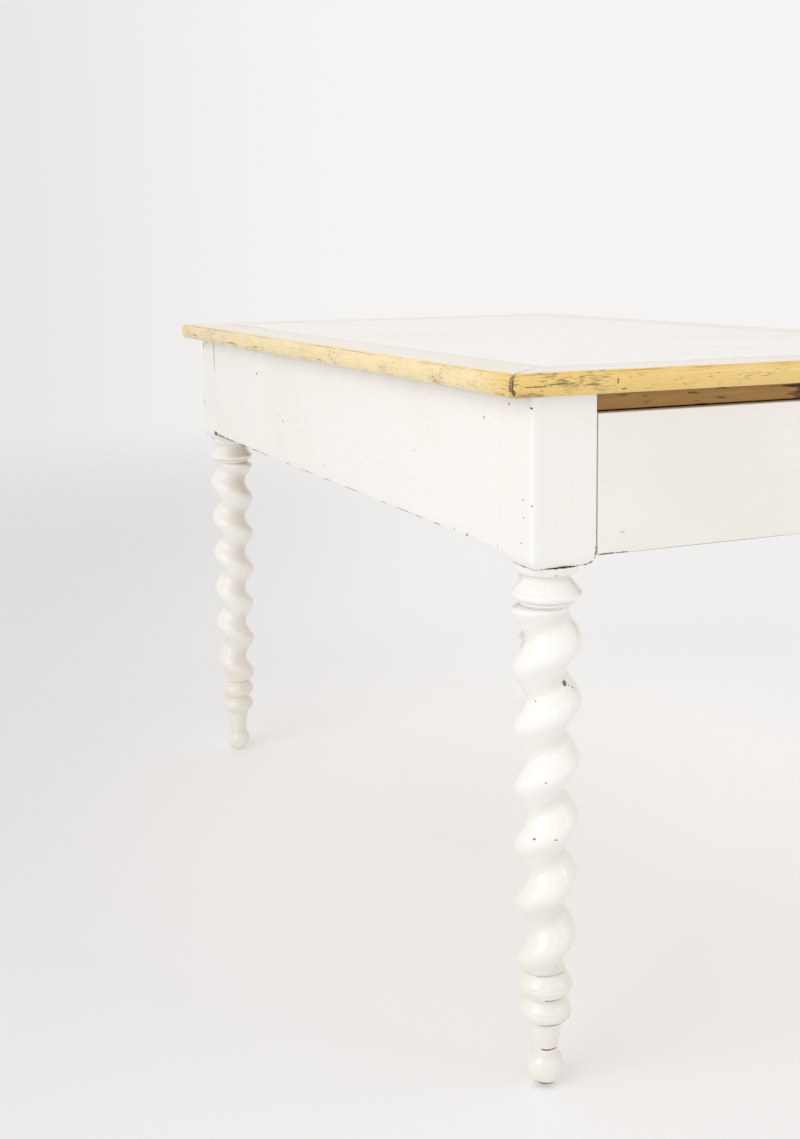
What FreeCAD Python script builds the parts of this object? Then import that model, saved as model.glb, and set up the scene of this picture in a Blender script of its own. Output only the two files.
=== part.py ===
import FreeCAD, Part
import Sketcher
import math
import os
import re

# A painted kitchen table with four barley-twist legs and a drawer at each short end.
# X runs across the table, Y along it and Z up; the origin is on the floor under its centre.

# Every driving size, in millimetres unless the note says otherwise.
SIZES = (
    ("table_height", 770, "floor to the top face"),
    ("table_length", 1250, "top, along Y"),
    ("table_width", 750, "top, along X"),
    ("top_thickness", 24, "border members and boards"),
    ("border_width", 76, "mitred member round the top"),
    ("edge_nose", 4.5, "how far the rounded edge stands out at mid thickness"),
    ("board_count", 5, "boards side by side in the panel, a number"),
    ("tongue_depth", 8, "tongue and groove, across the joint"),
    ("tongue_thickness", 8, "tongue and groove, through the thickness"),
    ("joint_play", 0.3, "slack at the end of a tongue or tenon"),
    ("end_overhang", 19, "top past the legs at the drawer ends"),
    ("side_overhang", 32, "top past the legs at the long sides"),
    ("leg_block", 74, "side of the square block"),
    ("block_drop", 10, "block below the aprons"),
    ("block_ease", 5, "how far the block's lower corners come in"),
    ("apron_depth", 166, "long apron, from the top down"),
    ("apron_thickness", 22, "long apron"),
    ("tenon_thickness", 10, "tenons of aprons and rails"),
    ("tenon_length", 42, "tenons of aprons and rails"),
    ("tenon_shoulder", 20, "apron above and below its tenon"),
    ("upper_rail_height", 18, "rail above the drawer"),
    ("upper_rail_depth", 45, "rail above the drawer, front to back"),
    ("upper_rail_recess", 13, "rail behind the drawer's face"),
    ("upper_rail_end_gap", 8, "from the leg block to the rail's shoulder"),
    ("lower_rail_height", 22, "rail under the drawer"),
    ("lower_rail_depth", 60, "rail under the drawer, front to back"),
    ("rail_shoulder", 8, "rail in front of and behind its tenon"),
    ("centre_rail_thickness", 22, "rail between the aprons at mid length"),
    ("housing_depth", 6, "centre rail's ends let into the aprons"),
    ("runner_width", 55, "strip that carries a drawer side"),
    ("guide_width", 25, "strip beside a drawer side"),
    ("guide_height", 23, "strip beside a drawer side"),
    ("kicker_width", 40, "strip above a drawer side"),
    ("kicker_thickness", 20, "strip above a drawer side"),
    ("glue_block_size", 25, "legs of the three-cornered glue block"),
    ("glue_block_length", 60, "glue block, along the apron"),
    ("glue_block_inner", 180, "centre of the inner glue blocks from mid length"),
    ("glue_block_outer", 400, "centre of the outer glue blocks from mid length"),
    ("drawer_gap", 1.5, "each side of the drawer front"),
    ("drawer_top_gap", 3, "between the drawer front and the upper rail"),
    ("drawer_stop_gap", 0.3, "between the closed drawer front and the lower rail"),
    ("drawer_ride", 0.3, "between a drawer side and its runner"),
    ("drawer_face_thickness", 18, "drawer front"),
    ("drawer_back_gap", 35, "between the closed drawer and the centre rail"),
    ("drawer_side_thickness", 12, "drawer sides and back"),
    ("drawer_side_drop", 1, "drawer side below the top of the front"),
    ("drawer_back_drop", 8, "drawer back below the top of the side"),
    ("drawer_back_inset", 14, "drawer back from the ends of the sides"),
    ("drawer_housing", 4, "drawer back let into the sides"),
    ("drawer_bottom_thickness", 6, "drawer bottom"),
    ("drawer_bottom_lift", 8, "drawer bottom above the lower edge of the side"),
    ("drawer_groove", 5, "drawer bottom let into the sides and front"),
    ("dovetail_count", 4, "tails on each drawer side, a number"),
    ("dovetail_length", 12, "tail, along the side"),
    ("dovetail_neck", 17, "tail at its narrow end"),
    ("dovetail_flare", 2, "tail's spread on each edge"),
    ("twist_pitch", 63.7, "one full turn of the bead"),
    ("twist_bottom", 127, "lower end of the twist above the floor"),
    ("twist_top", 526, "upper end of the twist above the floor"),
    ("crest_radius_top", 37, "crest of the bead at the upper end"),
    ("crest_radius_bottom", 31.5, "crest of the bead at the lower end"),
    ("root_radius_top", 23, "root of the twist at the upper end"),
    ("root_radius_bottom", 17, "root of the twist at the lower end"),
    ("front_twist_phase", 167, "angle of the crest of the front left leg at twist_mark, in degrees"),
    ("back_twist_phase", -18, "angle of the crest of the back left leg at twist_mark, in degrees"),
    ("twist_mark", 460, "height at which the two angles are taken"),
    ("bead_flats", 20, "flats along one turn of the bead, a number"),
    ("bead_shoulder", 0.3, "from the bead's crest to its shoulder, as a share of half the pitch"),
    ("bead_shoulder_rise", 0.72, "shoulder's place between the root, 0, and the crest, 1"),
    ("bead_foot", 0.75, "from the bead's crest to the hollow, as a share of half the pitch"),
    ("core_inset", 2, "spindle inside the root of the twist"),
    ("turned_flats", 3, "flats that round a turned ring or the ball, a number"),
    ("foot_flat_radius", 8, "flat under the ball foot"),
    ("ball_radius", 20, "ball foot"),
    ("ankle_radius", 13, "narrowest part above the ball"),
    ("ankle_height", 42, "top of the narrowest part above the floor"),
    ("shin_radius", 17.5, "cone under the lower ring, at its top"),
    ("lower_ring_bottom", 66, "lower turned ring, underside"),
    ("lower_ring_radius", 28.5, "lower turned ring, widest"),
    ("lower_ring_seat", 22, "lower turned ring, at its edges"),
    ("ring_notch_height", 95, "notch between the two rings"),
    ("upper_ring_radius", 29.5, "upper turned ring, widest"),
    ("upper_ring_seat", 23.5, "upper turned ring, at its edges"),
    ("fillet_radius", 27, "plain ring between the twist and the collar"),
    ("fillet_height", 5, "plain ring between the twist and the collar"),
    ("collar_lip", 30, "collar, at its underside"),
    ("collar_radius", 37, "collar, widest"),
    ("collar_rise", 6, "from the collar's underside to its widest part"),
    ("neck_radius", 25, "neck between the collar and the disc"),
    ("neck_bottom", 552, "neck, lower end above the floor"),
    ("neck_top", 556, "neck, upper end above the floor"),
    ("disc_radius", 35, "disc under the block, at its top"),
    ("disc_seat", 28, "disc under the block, at its underside"),
    ("disc_rise", 2, "disc's underside above the neck"),
)

document = FreeCAD.newDocument("kitchen_table")
sheet = document.addObject("Spreadsheet::Sheet", "Sizes")
for row, (alias, size, note) in enumerate(SIZES, start=1):
    sheet.set(f"A{row}", note)
    sheet.set(f"B{row}", str(size))
    sheet.setAlias(f"B{row}", alias)
document.recompute()


def ref(text):
    """Return an expression with every sheet alias in it written as Sizes.alias."""
    aliases = {alias for alias, _, _ in SIZES}
    return re.sub(r"[a-z_]+", lambda word: "Sizes." * (word[0] in aliases) + word[0], text)


def number(text):
    """Return the present value of an expression."""
    return float(sheet.evalExpression(ref(text)))


# Places that several pieces share, as expressions.
UNDERSIDE = "( table_height - top_thickness )"
APRON_BOTTOM = "( table_height - top_thickness - apron_depth )"
BLOCK_BOTTOM = f"( {APRON_BOTTOM} - block_drop )"
FACE_Y = "( table_length / 2 - end_overhang )"
FACE_X = "( table_width / 2 - side_overhang )"
BLOCK_INNER_X = f"( {FACE_X} - leg_block )"
BLOCK_INNER_Y = f"( {FACE_Y} - leg_block )"
APRON_INNER_X = f"( {FACE_X} - apron_thickness )"
RUNNER_TOP = f"( {APRON_BOTTOM} + lower_rail_height )"
UPPER_RAIL_BOTTOM = f"( {UNDERSIDE} - upper_rail_height )"
UPPER_RAIL_FRONT = f"( {FACE_Y} - upper_rail_recess )"
UPPER_RAIL_BACK = f"( {UPPER_RAIL_FRONT} - upper_rail_depth )"
FACE_BACK_Y = f"( {FACE_Y} - drawer_face_thickness )"
LOWER_RAIL_FRONT = f"( {FACE_BACK_Y} - drawer_stop_gap )"
LOWER_RAIL_BACK = f"( {LOWER_RAIL_FRONT} - lower_rail_depth )"
CENTRE_RAIL_FACE = "( centre_rail_thickness / 2 )"
DRAWER_HALF = f"( {BLOCK_INNER_X} - drawer_gap )"
FACE_TOP = f"( {UPPER_RAIL_BOTTOM} - drawer_top_gap )"
SIDE_TOP = f"( {FACE_TOP} - drawer_side_drop )"
SIDE_BOTTOM = f"( {RUNNER_TOP} + drawer_ride )"
SIDE_INNER_X = f"( {DRAWER_HALF} - drawer_side_thickness )"
DRAWER_END_Y = f"( {CENTRE_RAIL_FACE} + drawer_back_gap )"
PANEL_BOTTOM = f"( {SIDE_BOTTOM} + drawer_bottom_lift )"
PANEL_TOP = f"( {PANEL_BOTTOM} + drawer_bottom_thickness )"
BACK_FRONT_Y = f"( {DRAWER_END_Y} + drawer_back_inset + drawer_side_thickness )"
INNER_WIDTH = "( table_width - 2 * border_width )"
INNER_LENGTH = "( table_length - 2 * border_width )"
BOARD_WIDTH = f"( {INNER_WIDTH} / board_count )"
TOP_CENTRE = "( table_height - top_thickness / 2 )"


def add(kind, name):
    """Add an object whose label says what it is for."""
    item = document.addObject(kind, name)
    item.Label = name
    return item


def box(name, size, centre):
    """A box bound to the sheet: its size along X, Y and Z, and its centre."""
    item = add("Part::Box", name)
    for side, length in zip(("Length", "Width", "Height"), size):
        item.setExpression(side, ref(length))
    for axis, length, middle in zip("xyz", size, centre):
        item.setExpression(f"Placement.Base.{axis}", ref(f"( {middle} ) - ( {length} ) / 2"))
    return item


def span(low, high):
    """The length and the middle of a stretch between two expressions."""
    return f"( ( {high} ) - ( {low} ) )", f"( ( ( {high} ) + ( {low} ) ) / 2 )"


def block(name, x_range, y_range, z_range):
    """A box given by its lower and upper ends along X, Y and Z."""
    size, centre = zip(span(*x_range), span(*y_range), span(*z_range))
    return box(name, size, centre)


def join(name, parts):
    """The parts as one solid."""
    item = add("Part::MultiFuse", name)
    item.Shapes = parts
    item.Refine = True
    return item


def cut(name, base, tools):
    """The base less the tools."""
    tool = tools[0] if len(tools) == 1 else join(f"{name}_tools", tools)
    item = add("Part::Cut", name)
    item.Base = base
    item.Tool = tool
    item.Refine = True
    return item


def outline(sketch, corners, radii=None):
    """Draw a closed outline whose corners are bound to the sheet.

    A radius at position i makes an arc of the side from corner i to the next one. It bulges to the
    right of the way from one to the other, which is outwards when the outline runs anticlockwise.
    """
    radii = radii or {}
    points = [FreeCAD.Vector(number(x), number(y), 0) for x, y in corners]
    for index, start in enumerate(points):
        end = points[(index + 1) % len(points)]
        if index in radii:
            sketch.addGeometry(bulge(start, end, number(radii[index])), False)
        else:
            sketch.addGeometry(Part.LineSegment(start, end), False)
    for index, (x, y) in enumerate(corners):
        following = (index + 1) % len(corners)
        sketch.addConstraint(Sketcher.Constraint("Coincident", index, 2, following, 1))
        for kind, text in (("DistanceX", x), ("DistanceY", y)):
            place = sketch.addConstraint(Sketcher.Constraint(kind, -1, 1, index, 1, number(text)))
            sketch.setExpression(f"Constraints[{place}]", ref(text))
    for index, radius in radii.items():
        place = sketch.addConstraint(Sketcher.Constraint("Radius", index, number(radius)))
        sketch.setExpression(f"Constraints[{place}]", ref(radius))


def bulge(start, end, radius):
    """The short arc of a radius from start to end, bulging to the right of that way."""
    chord = end - start
    right = FreeCAD.Vector(chord.y, -chord.x, 0).normalize()
    sagitta = radius - math.sqrt(radius ** 2 - (chord.Length / 2) ** 2)
    return Part.Arc(start, (start + end) / 2 + right * sagitta, end)


def place(item, x="0", y="0", z="0", turn=0, axis=(0, 0, 1)):
    """Turn an object by an angle about an axis and bind its place to the sheet."""
    item.Placement = FreeCAD.Placement(FreeCAD.Vector(), FreeCAD.Rotation(FreeCAD.Vector(*axis), turn))
    for letter, text in zip("xyz", (x, y, z)):
        item.setExpression(f"Placement.Base.{letter}", ref(text))
    return item


def arc_radius(half_chord, sagitta):
    """The radius of an arc from half its chord and its height over the chord."""
    return f"( ( ( {half_chord} ) ^ 2 + ( {sagitta} ) ^ 2 ) / ( 2 * ( {sagitta} ) ) )"


def plane(body, role):
    """One of a body's origin planes."""
    return next(item for item in body.Origin.OriginFeatures if item.Role == role)


def sketch_on(body, role, name):
    """A sketch of a body on one of its origin planes."""
    sketch = body.newObject("Sketcher::SketchObject", name)
    sketch.AttachmentSupport = (plane(body, role), [""])
    sketch.MapMode = "FlatFace"
    return sketch


# The table top: four mitred border members round a panel of boards.


def border(name, run, reach, turn):
    """A border member along X at the -Y edge, then turned about Z to its own edge."""
    body = add("PartDesign::Body", name)
    section = sketch_on(body, "YZ_Plane", f"{name}_section")
    outer = f"- {reach} / 2"
    inner = f"( {outer} + border_width )"
    groove = f"( {inner} - tongue_depth )"
    arris = f"( {outer} + edge_nose )"
    low = f"( {TOP_CENTRE} - tongue_thickness / 2 )"
    high = f"( {TOP_CENTRE} + tongue_thickness / 2 )"
    corners = [
        (arris, UNDERSIDE),
        (inner, UNDERSIDE),
        (inner, low),
        (groove, low),
        (groove, high),
        (inner, high),
        (inner, "table_height"),
        (arris, "table_height"),
    ]
    outline(section, corners, {7: arc_radius("top_thickness / 2", "edge_nose")})
    pad = body.newObject("PartDesign::Pad", f"{name}_pad")
    pad.Profile = section
    pad.SideType = "Symmetric"
    pad.setExpression("Length", ref(run))
    mitre = sketch_on(body, "XY_Plane", f"{name}_mitre")
    for side in (1, -1):
        tip = f"{side} * {run} / 2"
        root = f"{side} * ( {run} / 2 - border_width )"
        triangle(mitre, [(tip, outer), (tip, inner), (root, inner)])
    trim = body.newObject("PartDesign::Pocket", f"{name}_trim")
    trim.Profile = mitre
    trim.Type = "ThroughAll"
    trim.Reversed = True
    document.recompute()
    if trim.Shape.Volume >= pad.Shape.Volume:
        raise RuntimeError(f"{name}: the mitres cut nothing")
    return place(body, turn=turn)


def triangle(sketch, corners):
    """Add a closed triangle, bound to the sheet, to a sketch that may hold others."""
    first = sketch.GeometryCount
    points = [FreeCAD.Vector(number(x), number(y), 0) for x, y in corners]
    for index, start in enumerate(points):
        sketch.addGeometry(Part.LineSegment(start, points[(index + 1) % 3]), False)
    for index, (x, y) in enumerate(corners):
        line = first + index
        following = first + (index + 1) % 3
        sketch.addConstraint(Sketcher.Constraint("Coincident", line, 2, following, 1))
        for kind, text in (("DistanceX", x), ("DistanceY", y)):
            constraint = Sketcher.Constraint(kind, -1, 1, line, 1, number(text))
            spot = sketch.addConstraint(constraint)
            sketch.setExpression(f"Constraints[{spot}]", ref(text))


def panel_board(index, count):
    """One board of the panel: a tongue at each end, a groove on its left and a tongue on its right."""
    name = f"top_board_{index + 1}"
    left = f"( - {INNER_WIDTH} / 2 + {index} * {BOARD_WIDTH} )"
    right = f"( {left} + {BOARD_WIDTH} )"
    reach = "( tongue_depth - joint_play )"
    ends = (f"- {INNER_LENGTH} / 2", f"{INNER_LENGTH} / 2")
    tongue_ends = (f"- {INNER_LENGTH} / 2 - {reach}", f"{INNER_LENGTH} / 2 + {reach}")
    levels = (f"{TOP_CENTRE} - tongue_thickness / 2", f"{TOP_CENTRE} + tongue_thickness / 2")
    tongue_left = f"{left} - {reach}" if index == 0 else f"{left} + tongue_depth"
    slab = block(f"{name}_slab", (left, right), ends, (UNDERSIDE, "table_height"))
    tongue = block(f"{name}_tongue", (tongue_left, f"{right} + {reach}"), tongue_ends, levels)
    if index == 0:
        return join(name, [slab, tongue])
    groove = block(f"{name}_groove", (left, f"{left} + tongue_depth"), tongue_ends, levels)
    return join(name, [cut(f"{name}_grooved", slab, [groove]), tongue])


# The legs: a square block over a turned spindle with a helical bead between its rings.

BALL_CENTRE = "sqrt( ball_radius ^ 2 - foot_flat_radius ^ 2 )"
COLLAR_BOTTOM = "( twist_top + fillet_height )"


def bend(middle_radius, middle_height, reach_out, reach_up, start, stop):
    """Corners along an ellipse beside the Z axis, from one angle to another, in radians."""
    flats = round(number("turned_flats"))
    angles = [start + (stop - start) * index / flats for index in range(flats + 1)]
    return [
        (
            f"{middle_radius} + ( {reach_out} ) * {math.cos(angle):.6f}",
            f"{middle_height} + ( {reach_up} ) * {math.sin(angle):.6f}",
        )
        for angle in angles
    ]


def ring(low, high, seat, widest):
    """Corners of a turned ring between two heights."""
    middle = f"( ( {low} ) + ( {high} ) ) / 2"
    reach_up = f"( ( {high} ) - ( {low} ) ) / 2"
    return bend(seat, middle, f"{widest} - {seat}", reach_up, -math.pi / 2, math.pi / 2)


def spindle():
    """The turned part of a leg on the Z axis, with the plain core inside its twist."""
    ball_start = -math.acos(number("foot_flat_radius / ball_radius"))
    ball_stop = math.acos(number("ankle_radius / ball_radius"))
    ball = bend("0", BALL_CENTRE, "ball_radius", "ball_radius", ball_start, ball_stop)
    corners = [("0", "0"), ("foot_flat_radius", "0")] + ball[1:]
    corners += [("ankle_radius", "ankle_height"), ("shin_radius", "lower_ring_bottom")]
    corners += ring("lower_ring_bottom", "ring_notch_height", "lower_ring_seat", "lower_ring_radius")
    corners += ring("ring_notch_height", "twist_bottom", "upper_ring_seat", "upper_ring_radius")
    corners += [
        ("root_radius_bottom - core_inset", "twist_bottom"),
        ("root_radius_top - core_inset", "twist_top"),
        ("fillet_radius", "twist_top"),
        ("fillet_radius", COLLAR_BOTTOM),
        ("collar_lip", COLLAR_BOTTOM),
        ("collar_radius", f"{COLLAR_BOTTOM} + collar_rise"),
        ("neck_radius", "neck_bottom"),
        ("neck_radius", "neck_top"),
        ("disc_seat", "neck_top + disc_rise"),
        ("disc_radius", BLOCK_BOTTOM),
        ("0", BLOCK_BOTTOM),
    ]
    sketch = add("Sketcher::SketchObject", "spindle_profile")
    outline(sketch, corners)
    place(sketch, turn=90, axis=(1, 0, 0))
    item = add("Part::Revolution", "spindle")
    item.Source = sketch
    item.Axis = FreeCAD.Vector(0, 0, 1)
    item.Angle = 360
    item.Solid = True
    return item


def twist(name, hand, phase):
    """The barley twist of a leg on the Z axis, right-handed for a hand of 1 and left-handed for -1.

    One bead winds up the leg with a wide hollow between its turns. Along the bead's crest, its
    shoulders and both edges of the hollow lie rows of points, and four-cornered flats between them make
    the skin, which runs past both ends of the twist. Both radii taper evenly from end to end. The skin
    is closed to the axis and its ends are cut off square.
    """
    pitch = number("twist_pitch")
    bottom = number("twist_bottom")
    top = number("twist_top")
    mark = number("twist_mark")
    flats = round(number("bead_flats"))
    shoulder = number("bead_shoulder")
    rise = number("bead_shoulder_rise")
    foot = number("bead_foot")
    section = ((-foot, 0), (-shoulder, rise), (0, 1), (shoulder, rise), (foot, 0), (2 - foot, 0))

    def tapered(part, height):
        low = number(f"{part}_radius_bottom")
        high = number(f"{part}_radius_top")
        return low + (high - low) * (height - bottom) / (top - bottom)

    def point(step, share, level):
        middle = bottom + pitch * (step / flats - 1)
        height = middle + pitch / 2 * share
        radius = tapered("root", height) * (1 - level) + tapered("crest", height) * level
        angle = math.radians(phase + hand * 360 * (middle - mark) / pitch)
        return FreeCAD.Vector(radius * math.cos(angle), radius * math.sin(angle), height)

    def on_axis(corner):
        return FreeCAD.Vector(0, 0, corner.z)

    def flat(before, after):
        sides = [Part.LineSegment(*pair).toShape() for pair in zip(before, after)]
        return Part.makeRuledSurface(*sides)

    last = flats * math.ceil((top - bottom) / pitch + 1 + foot / 2)
    rows = [[point(step, *place) for place in section] for step in range(last + 1)]
    faces = []
    for before, after in zip(rows, rows[1:]):
        faces += [flat(before[edge : edge + 2], after[edge : edge + 2]) for edge in range(len(section) - 1)]
    for turn, edge in ((rows[: flats + 1], 0), (rows[-flats - 1 :], -1)):
        spokes = [(row[edge], on_axis(row[edge])) for row in turn]
        faces += [flat(before, after) for before, after in zip(spokes, spokes[1:])]
    for row in (rows[0], rows[-1]):
        closed = [on_axis(row[0]), *row, on_axis(row[-1]), on_axis(row[0])]
        faces.append(Part.Face(Part.makePolygon(closed)))
    skin = Part.makeShell([face for piece in faces for face in piece.Faces])
    skin.sewShape()
    sleeve = Part.makeCylinder(2 * tapered("crest", top), top - bottom, FreeCAD.Vector(0, 0, bottom))
    item = add("Part::Feature", name)
    item.Shape = Part.makeSolid(skin).common(sleeve).Solids[0]
    return item


def leg(name, side, end, phase, turned):
    """A leg on the Z axis, mortised for its apron and rails, then set under its corner."""
    hand = side * end
    half = "leg_block / 2"
    stem = box(
        f"{name}_stem",
        ("leg_block", "leg_block", "apron_depth"),
        ("0", "0", f"{APRON_BOTTOM} + apron_depth / 2"),
    )
    foot = add("Part::Wedge", f"{name}_stem_foot")
    for letter in "XZ":
        for limit, sign in (("min", -1), ("max", 1)):
            foot.setExpression(f"{letter}{limit}", ref(f"{sign} * ( {half} - block_ease )"))
            foot.setExpression(f"{letter}2{limit}", ref(f"{sign} * {half}"))
    foot.Ymin = 0
    foot.setExpression("Ymax", ref("block_drop"))
    place(foot, z=BLOCK_BOTTOM, turn=90, axis=(1, 0, 0))
    turning = join(f"{name}_turning", [twist(f"{name}_twist", hand, phase), turned])
    body = join(f"{name}_body", [join(f"{name}_square", [stem, foot]), turning])
    depth = "( tenon_length + joint_play )"
    inward = f"( {half} - {depth} / 2 )"
    apron_mortise = box(
        f"{name}_apron_mortise",
        ("tenon_thickness", depth, "apron_depth - 2 * tenon_shoulder"),
        (
            f"{side} * ( {half} - apron_thickness / 2 )",
            f"{-end} * {inward}",
            f"{APRON_BOTTOM} + apron_depth / 2",
        ),
    )
    upper_mortise = box(
        f"{name}_upper_mortise",
        (depth, "upper_rail_depth - 2 * rail_shoulder", "upper_rail_height"),
        (
            f"{-side} * {inward}",
            f"{end} * ( {half} - upper_rail_recess - upper_rail_depth / 2 )",
            f"{UNDERSIDE} - upper_rail_height / 2",
        ),
    )
    lower_mortise = box(
        f"{name}_lower_mortise",
        (depth, "lower_rail_depth - 2 * rail_shoulder", "tenon_thickness"),
        (
            f"{-side} * {inward}",
            f"{end} * ( {half} - drawer_face_thickness - drawer_stop_gap - lower_rail_depth / 2 )",
            f"{APRON_BOTTOM} + lower_rail_height / 2",
        ),
    )
    item = cut(name, body, [apron_mortise, upper_mortise, lower_mortise])
    return place(item, x=f"{side} * ( {FACE_X} - {half} )", y=f"{end} * ( {FACE_Y} - {half} )")


# The frame under the top.


def apron(name, side):
    """A long apron with a tenon at each end and a housing for the centre rail."""
    middle_x = f"{side} * ( {FACE_X} - apron_thickness / 2 )"
    middle_z = f"{APRON_BOTTOM} + apron_depth / 2"
    board = box(
        f"{name}_board",
        ("apron_thickness", f"2 * {BLOCK_INNER_Y}", "apron_depth"),
        (middle_x, "0", middle_z),
    )
    tenons = box(
        f"{name}_tenons",
        ("tenon_thickness", f"2 * ( {BLOCK_INNER_Y} + tenon_length )", "apron_depth - 2 * tenon_shoulder"),
        (middle_x, "0", middle_z),
    )
    housing = box(
        f"{name}_housing",
        ("housing_depth", "centre_rail_thickness", "apron_depth"),
        (f"{side} * ( {APRON_INNER_X} + housing_depth / 2 )", "0", middle_z),
    )
    return cut(name, join(f"{name}_whole", [board, tenons]), [housing])


def upper_rail(name, end):
    """The painted rail above a drawer, with its shoulders short of the leg blocks."""
    middle_y = f"{end} * ( {UPPER_RAIL_FRONT} + {UPPER_RAIL_BACK} ) / 2"
    middle_z = f"{UNDERSIDE} - upper_rail_height / 2"
    board = box(
        f"{name}_board",
        (f"2 * ( {BLOCK_INNER_X} - upper_rail_end_gap )", "upper_rail_depth", "upper_rail_height"),
        ("0", middle_y, middle_z),
    )
    tenons = box(
        f"{name}_tenons",
        (
            f"2 * ( {BLOCK_INNER_X} + tenon_length )",
            "upper_rail_depth - 2 * rail_shoulder",
            "upper_rail_height",
        ),
        ("0", middle_y, middle_z),
    )
    return join(name, [board, tenons])


def lower_rail(name, end):
    """The rail under a drawer, which the closed drawer front covers."""
    middle_y = f"{end} * ( {LOWER_RAIL_FRONT} + {LOWER_RAIL_BACK} ) / 2"
    middle_z = f"{APRON_BOTTOM} + lower_rail_height / 2"
    board = box(
        f"{name}_board",
        (f"2 * {BLOCK_INNER_X}", "lower_rail_depth", "lower_rail_height"),
        ("0", middle_y, middle_z),
    )
    tenons = box(
        f"{name}_tenons",
        (
            f"2 * ( {BLOCK_INNER_X} + tenon_length )",
            "lower_rail_depth - 2 * rail_shoulder",
            "tenon_thickness",
        ),
        ("0", middle_y, middle_z),
    )
    return join(name, [board, tenons])


def centre_rail():
    """The rail across the middle, which holds the inner ends of the drawer strips."""
    return box(
        "centre_rail",
        (f"2 * ( {APRON_INNER_X} + housing_depth )", "centre_rail_thickness", "apron_depth"),
        ("0", "0", f"{APRON_BOTTOM} + apron_depth / 2"),
    )


def strips(corner, side, end):
    """The runner, guide and kicker of one drawer side."""
    inner = f"{end} * {CENTRE_RAIL_FACE}"
    below = ordered(end, inner, f"{end} * {LOWER_RAIL_BACK}")
    above = ordered(end, inner, f"{end} * {UPPER_RAIL_BACK}")
    edge = f"{side} * {BLOCK_INNER_X}"
    guide_out = f"{side} * ( {BLOCK_INNER_X} + guide_width )"
    runner_in = f"{side} * ( {BLOCK_INNER_X} + guide_width - runner_width )"
    kicker_in = f"{side} * ( {BLOCK_INNER_X} - kicker_width )"
    runner_levels = (APRON_BOTTOM, RUNNER_TOP)
    guide_levels = (RUNNER_TOP, f"{RUNNER_TOP} + guide_height")
    kicker_levels = (f"{UNDERSIDE} - kicker_thickness", UNDERSIDE)
    return [
        block(f"runner_{corner}", ordered(side, runner_in, guide_out), below, runner_levels),
        block(f"guide_{corner}", ordered(side, edge, guide_out), below, guide_levels),
        block(f"kicker_{corner}", ordered(side, kicker_in, edge), above, kicker_levels),
    ]


def ordered(sign, near, far):
    """The lower and the upper of two ends, of which far has the sign's direction."""
    return (near, far) if sign > 0 else (far, near)


def glue_blocks():
    """Three-cornered blocks rubbed into the angle between the aprons and the top."""
    pieces = []
    for side in (-1, 1):
        for row, spot in enumerate(("glue_block_inner", "glue_block_outer")):
            for end in (-1, 1):
                name = f"glue_block_{len(pieces) + 1}"
                sketch = add("Sketcher::SketchObject", f"{name}_section")
                tips = ((f"{-side} * glue_block_size", "0"), ("0", "- glue_block_size"))
                triangle(sketch, [("0", "0"), *tips])
                place(
                    sketch,
                    x=f"{side} * {APRON_INNER_X}",
                    y=f"{end} * {spot}",
                    z=UNDERSIDE,
                    turn=90,
                    axis=(1, 0, 0),
                )
                item = add("Part::Extrusion", name)
                item.Base = sketch
                item.DirMode = "Normal"
                item.Solid = True
                item.Symmetric = True
                item.setExpression("LengthFwd", ref("glue_block_length"))
                pieces.append(item)
    group = add("Part::Compound", "glue_blocks")
    group.Links = pieces
    return group


# The drawers: made at the front (-Y) end and turned half round for the back.


def tails(name, side):
    """The dovetails on the front end of a drawer side, wider at their tips."""
    count = round(number("dovetail_count"))
    pitch = f"( ( {SIDE_TOP} - {SIDE_BOTTOM} ) / dovetail_count )"
    middle_x = f"{side} * ( {SIDE_INNER_X} + drawer_side_thickness / 2 )"
    pieces = []
    for index in range(count):
        tail = add("Part::Wedge", f"{name}_{index + 1}")
        for limit, sign in (("min", -1), ("max", 1)):
            tail.setExpression(f"X{limit}", ref(f"{sign} * drawer_side_thickness / 2"))
            tail.setExpression(f"X2{limit}", ref(f"{sign} * drawer_side_thickness / 2"))
            tail.setExpression(f"Z{limit}", ref(f"{sign} * ( dovetail_neck / 2 + dovetail_flare )"))
            tail.setExpression(f"Z2{limit}", ref(f"{sign} * dovetail_neck / 2"))
        tail.Ymin = 0
        tail.setExpression("Ymax", ref("dovetail_length"))
        level = f"{SIDE_BOTTOM} + {pitch} * ( {index} + 0.5 )"
        place(tail, x=middle_x, y=f"- {FACE_BACK_Y} - dovetail_length", z=level)
        pieces.append(tail)
    return join(name, pieces)


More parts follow.
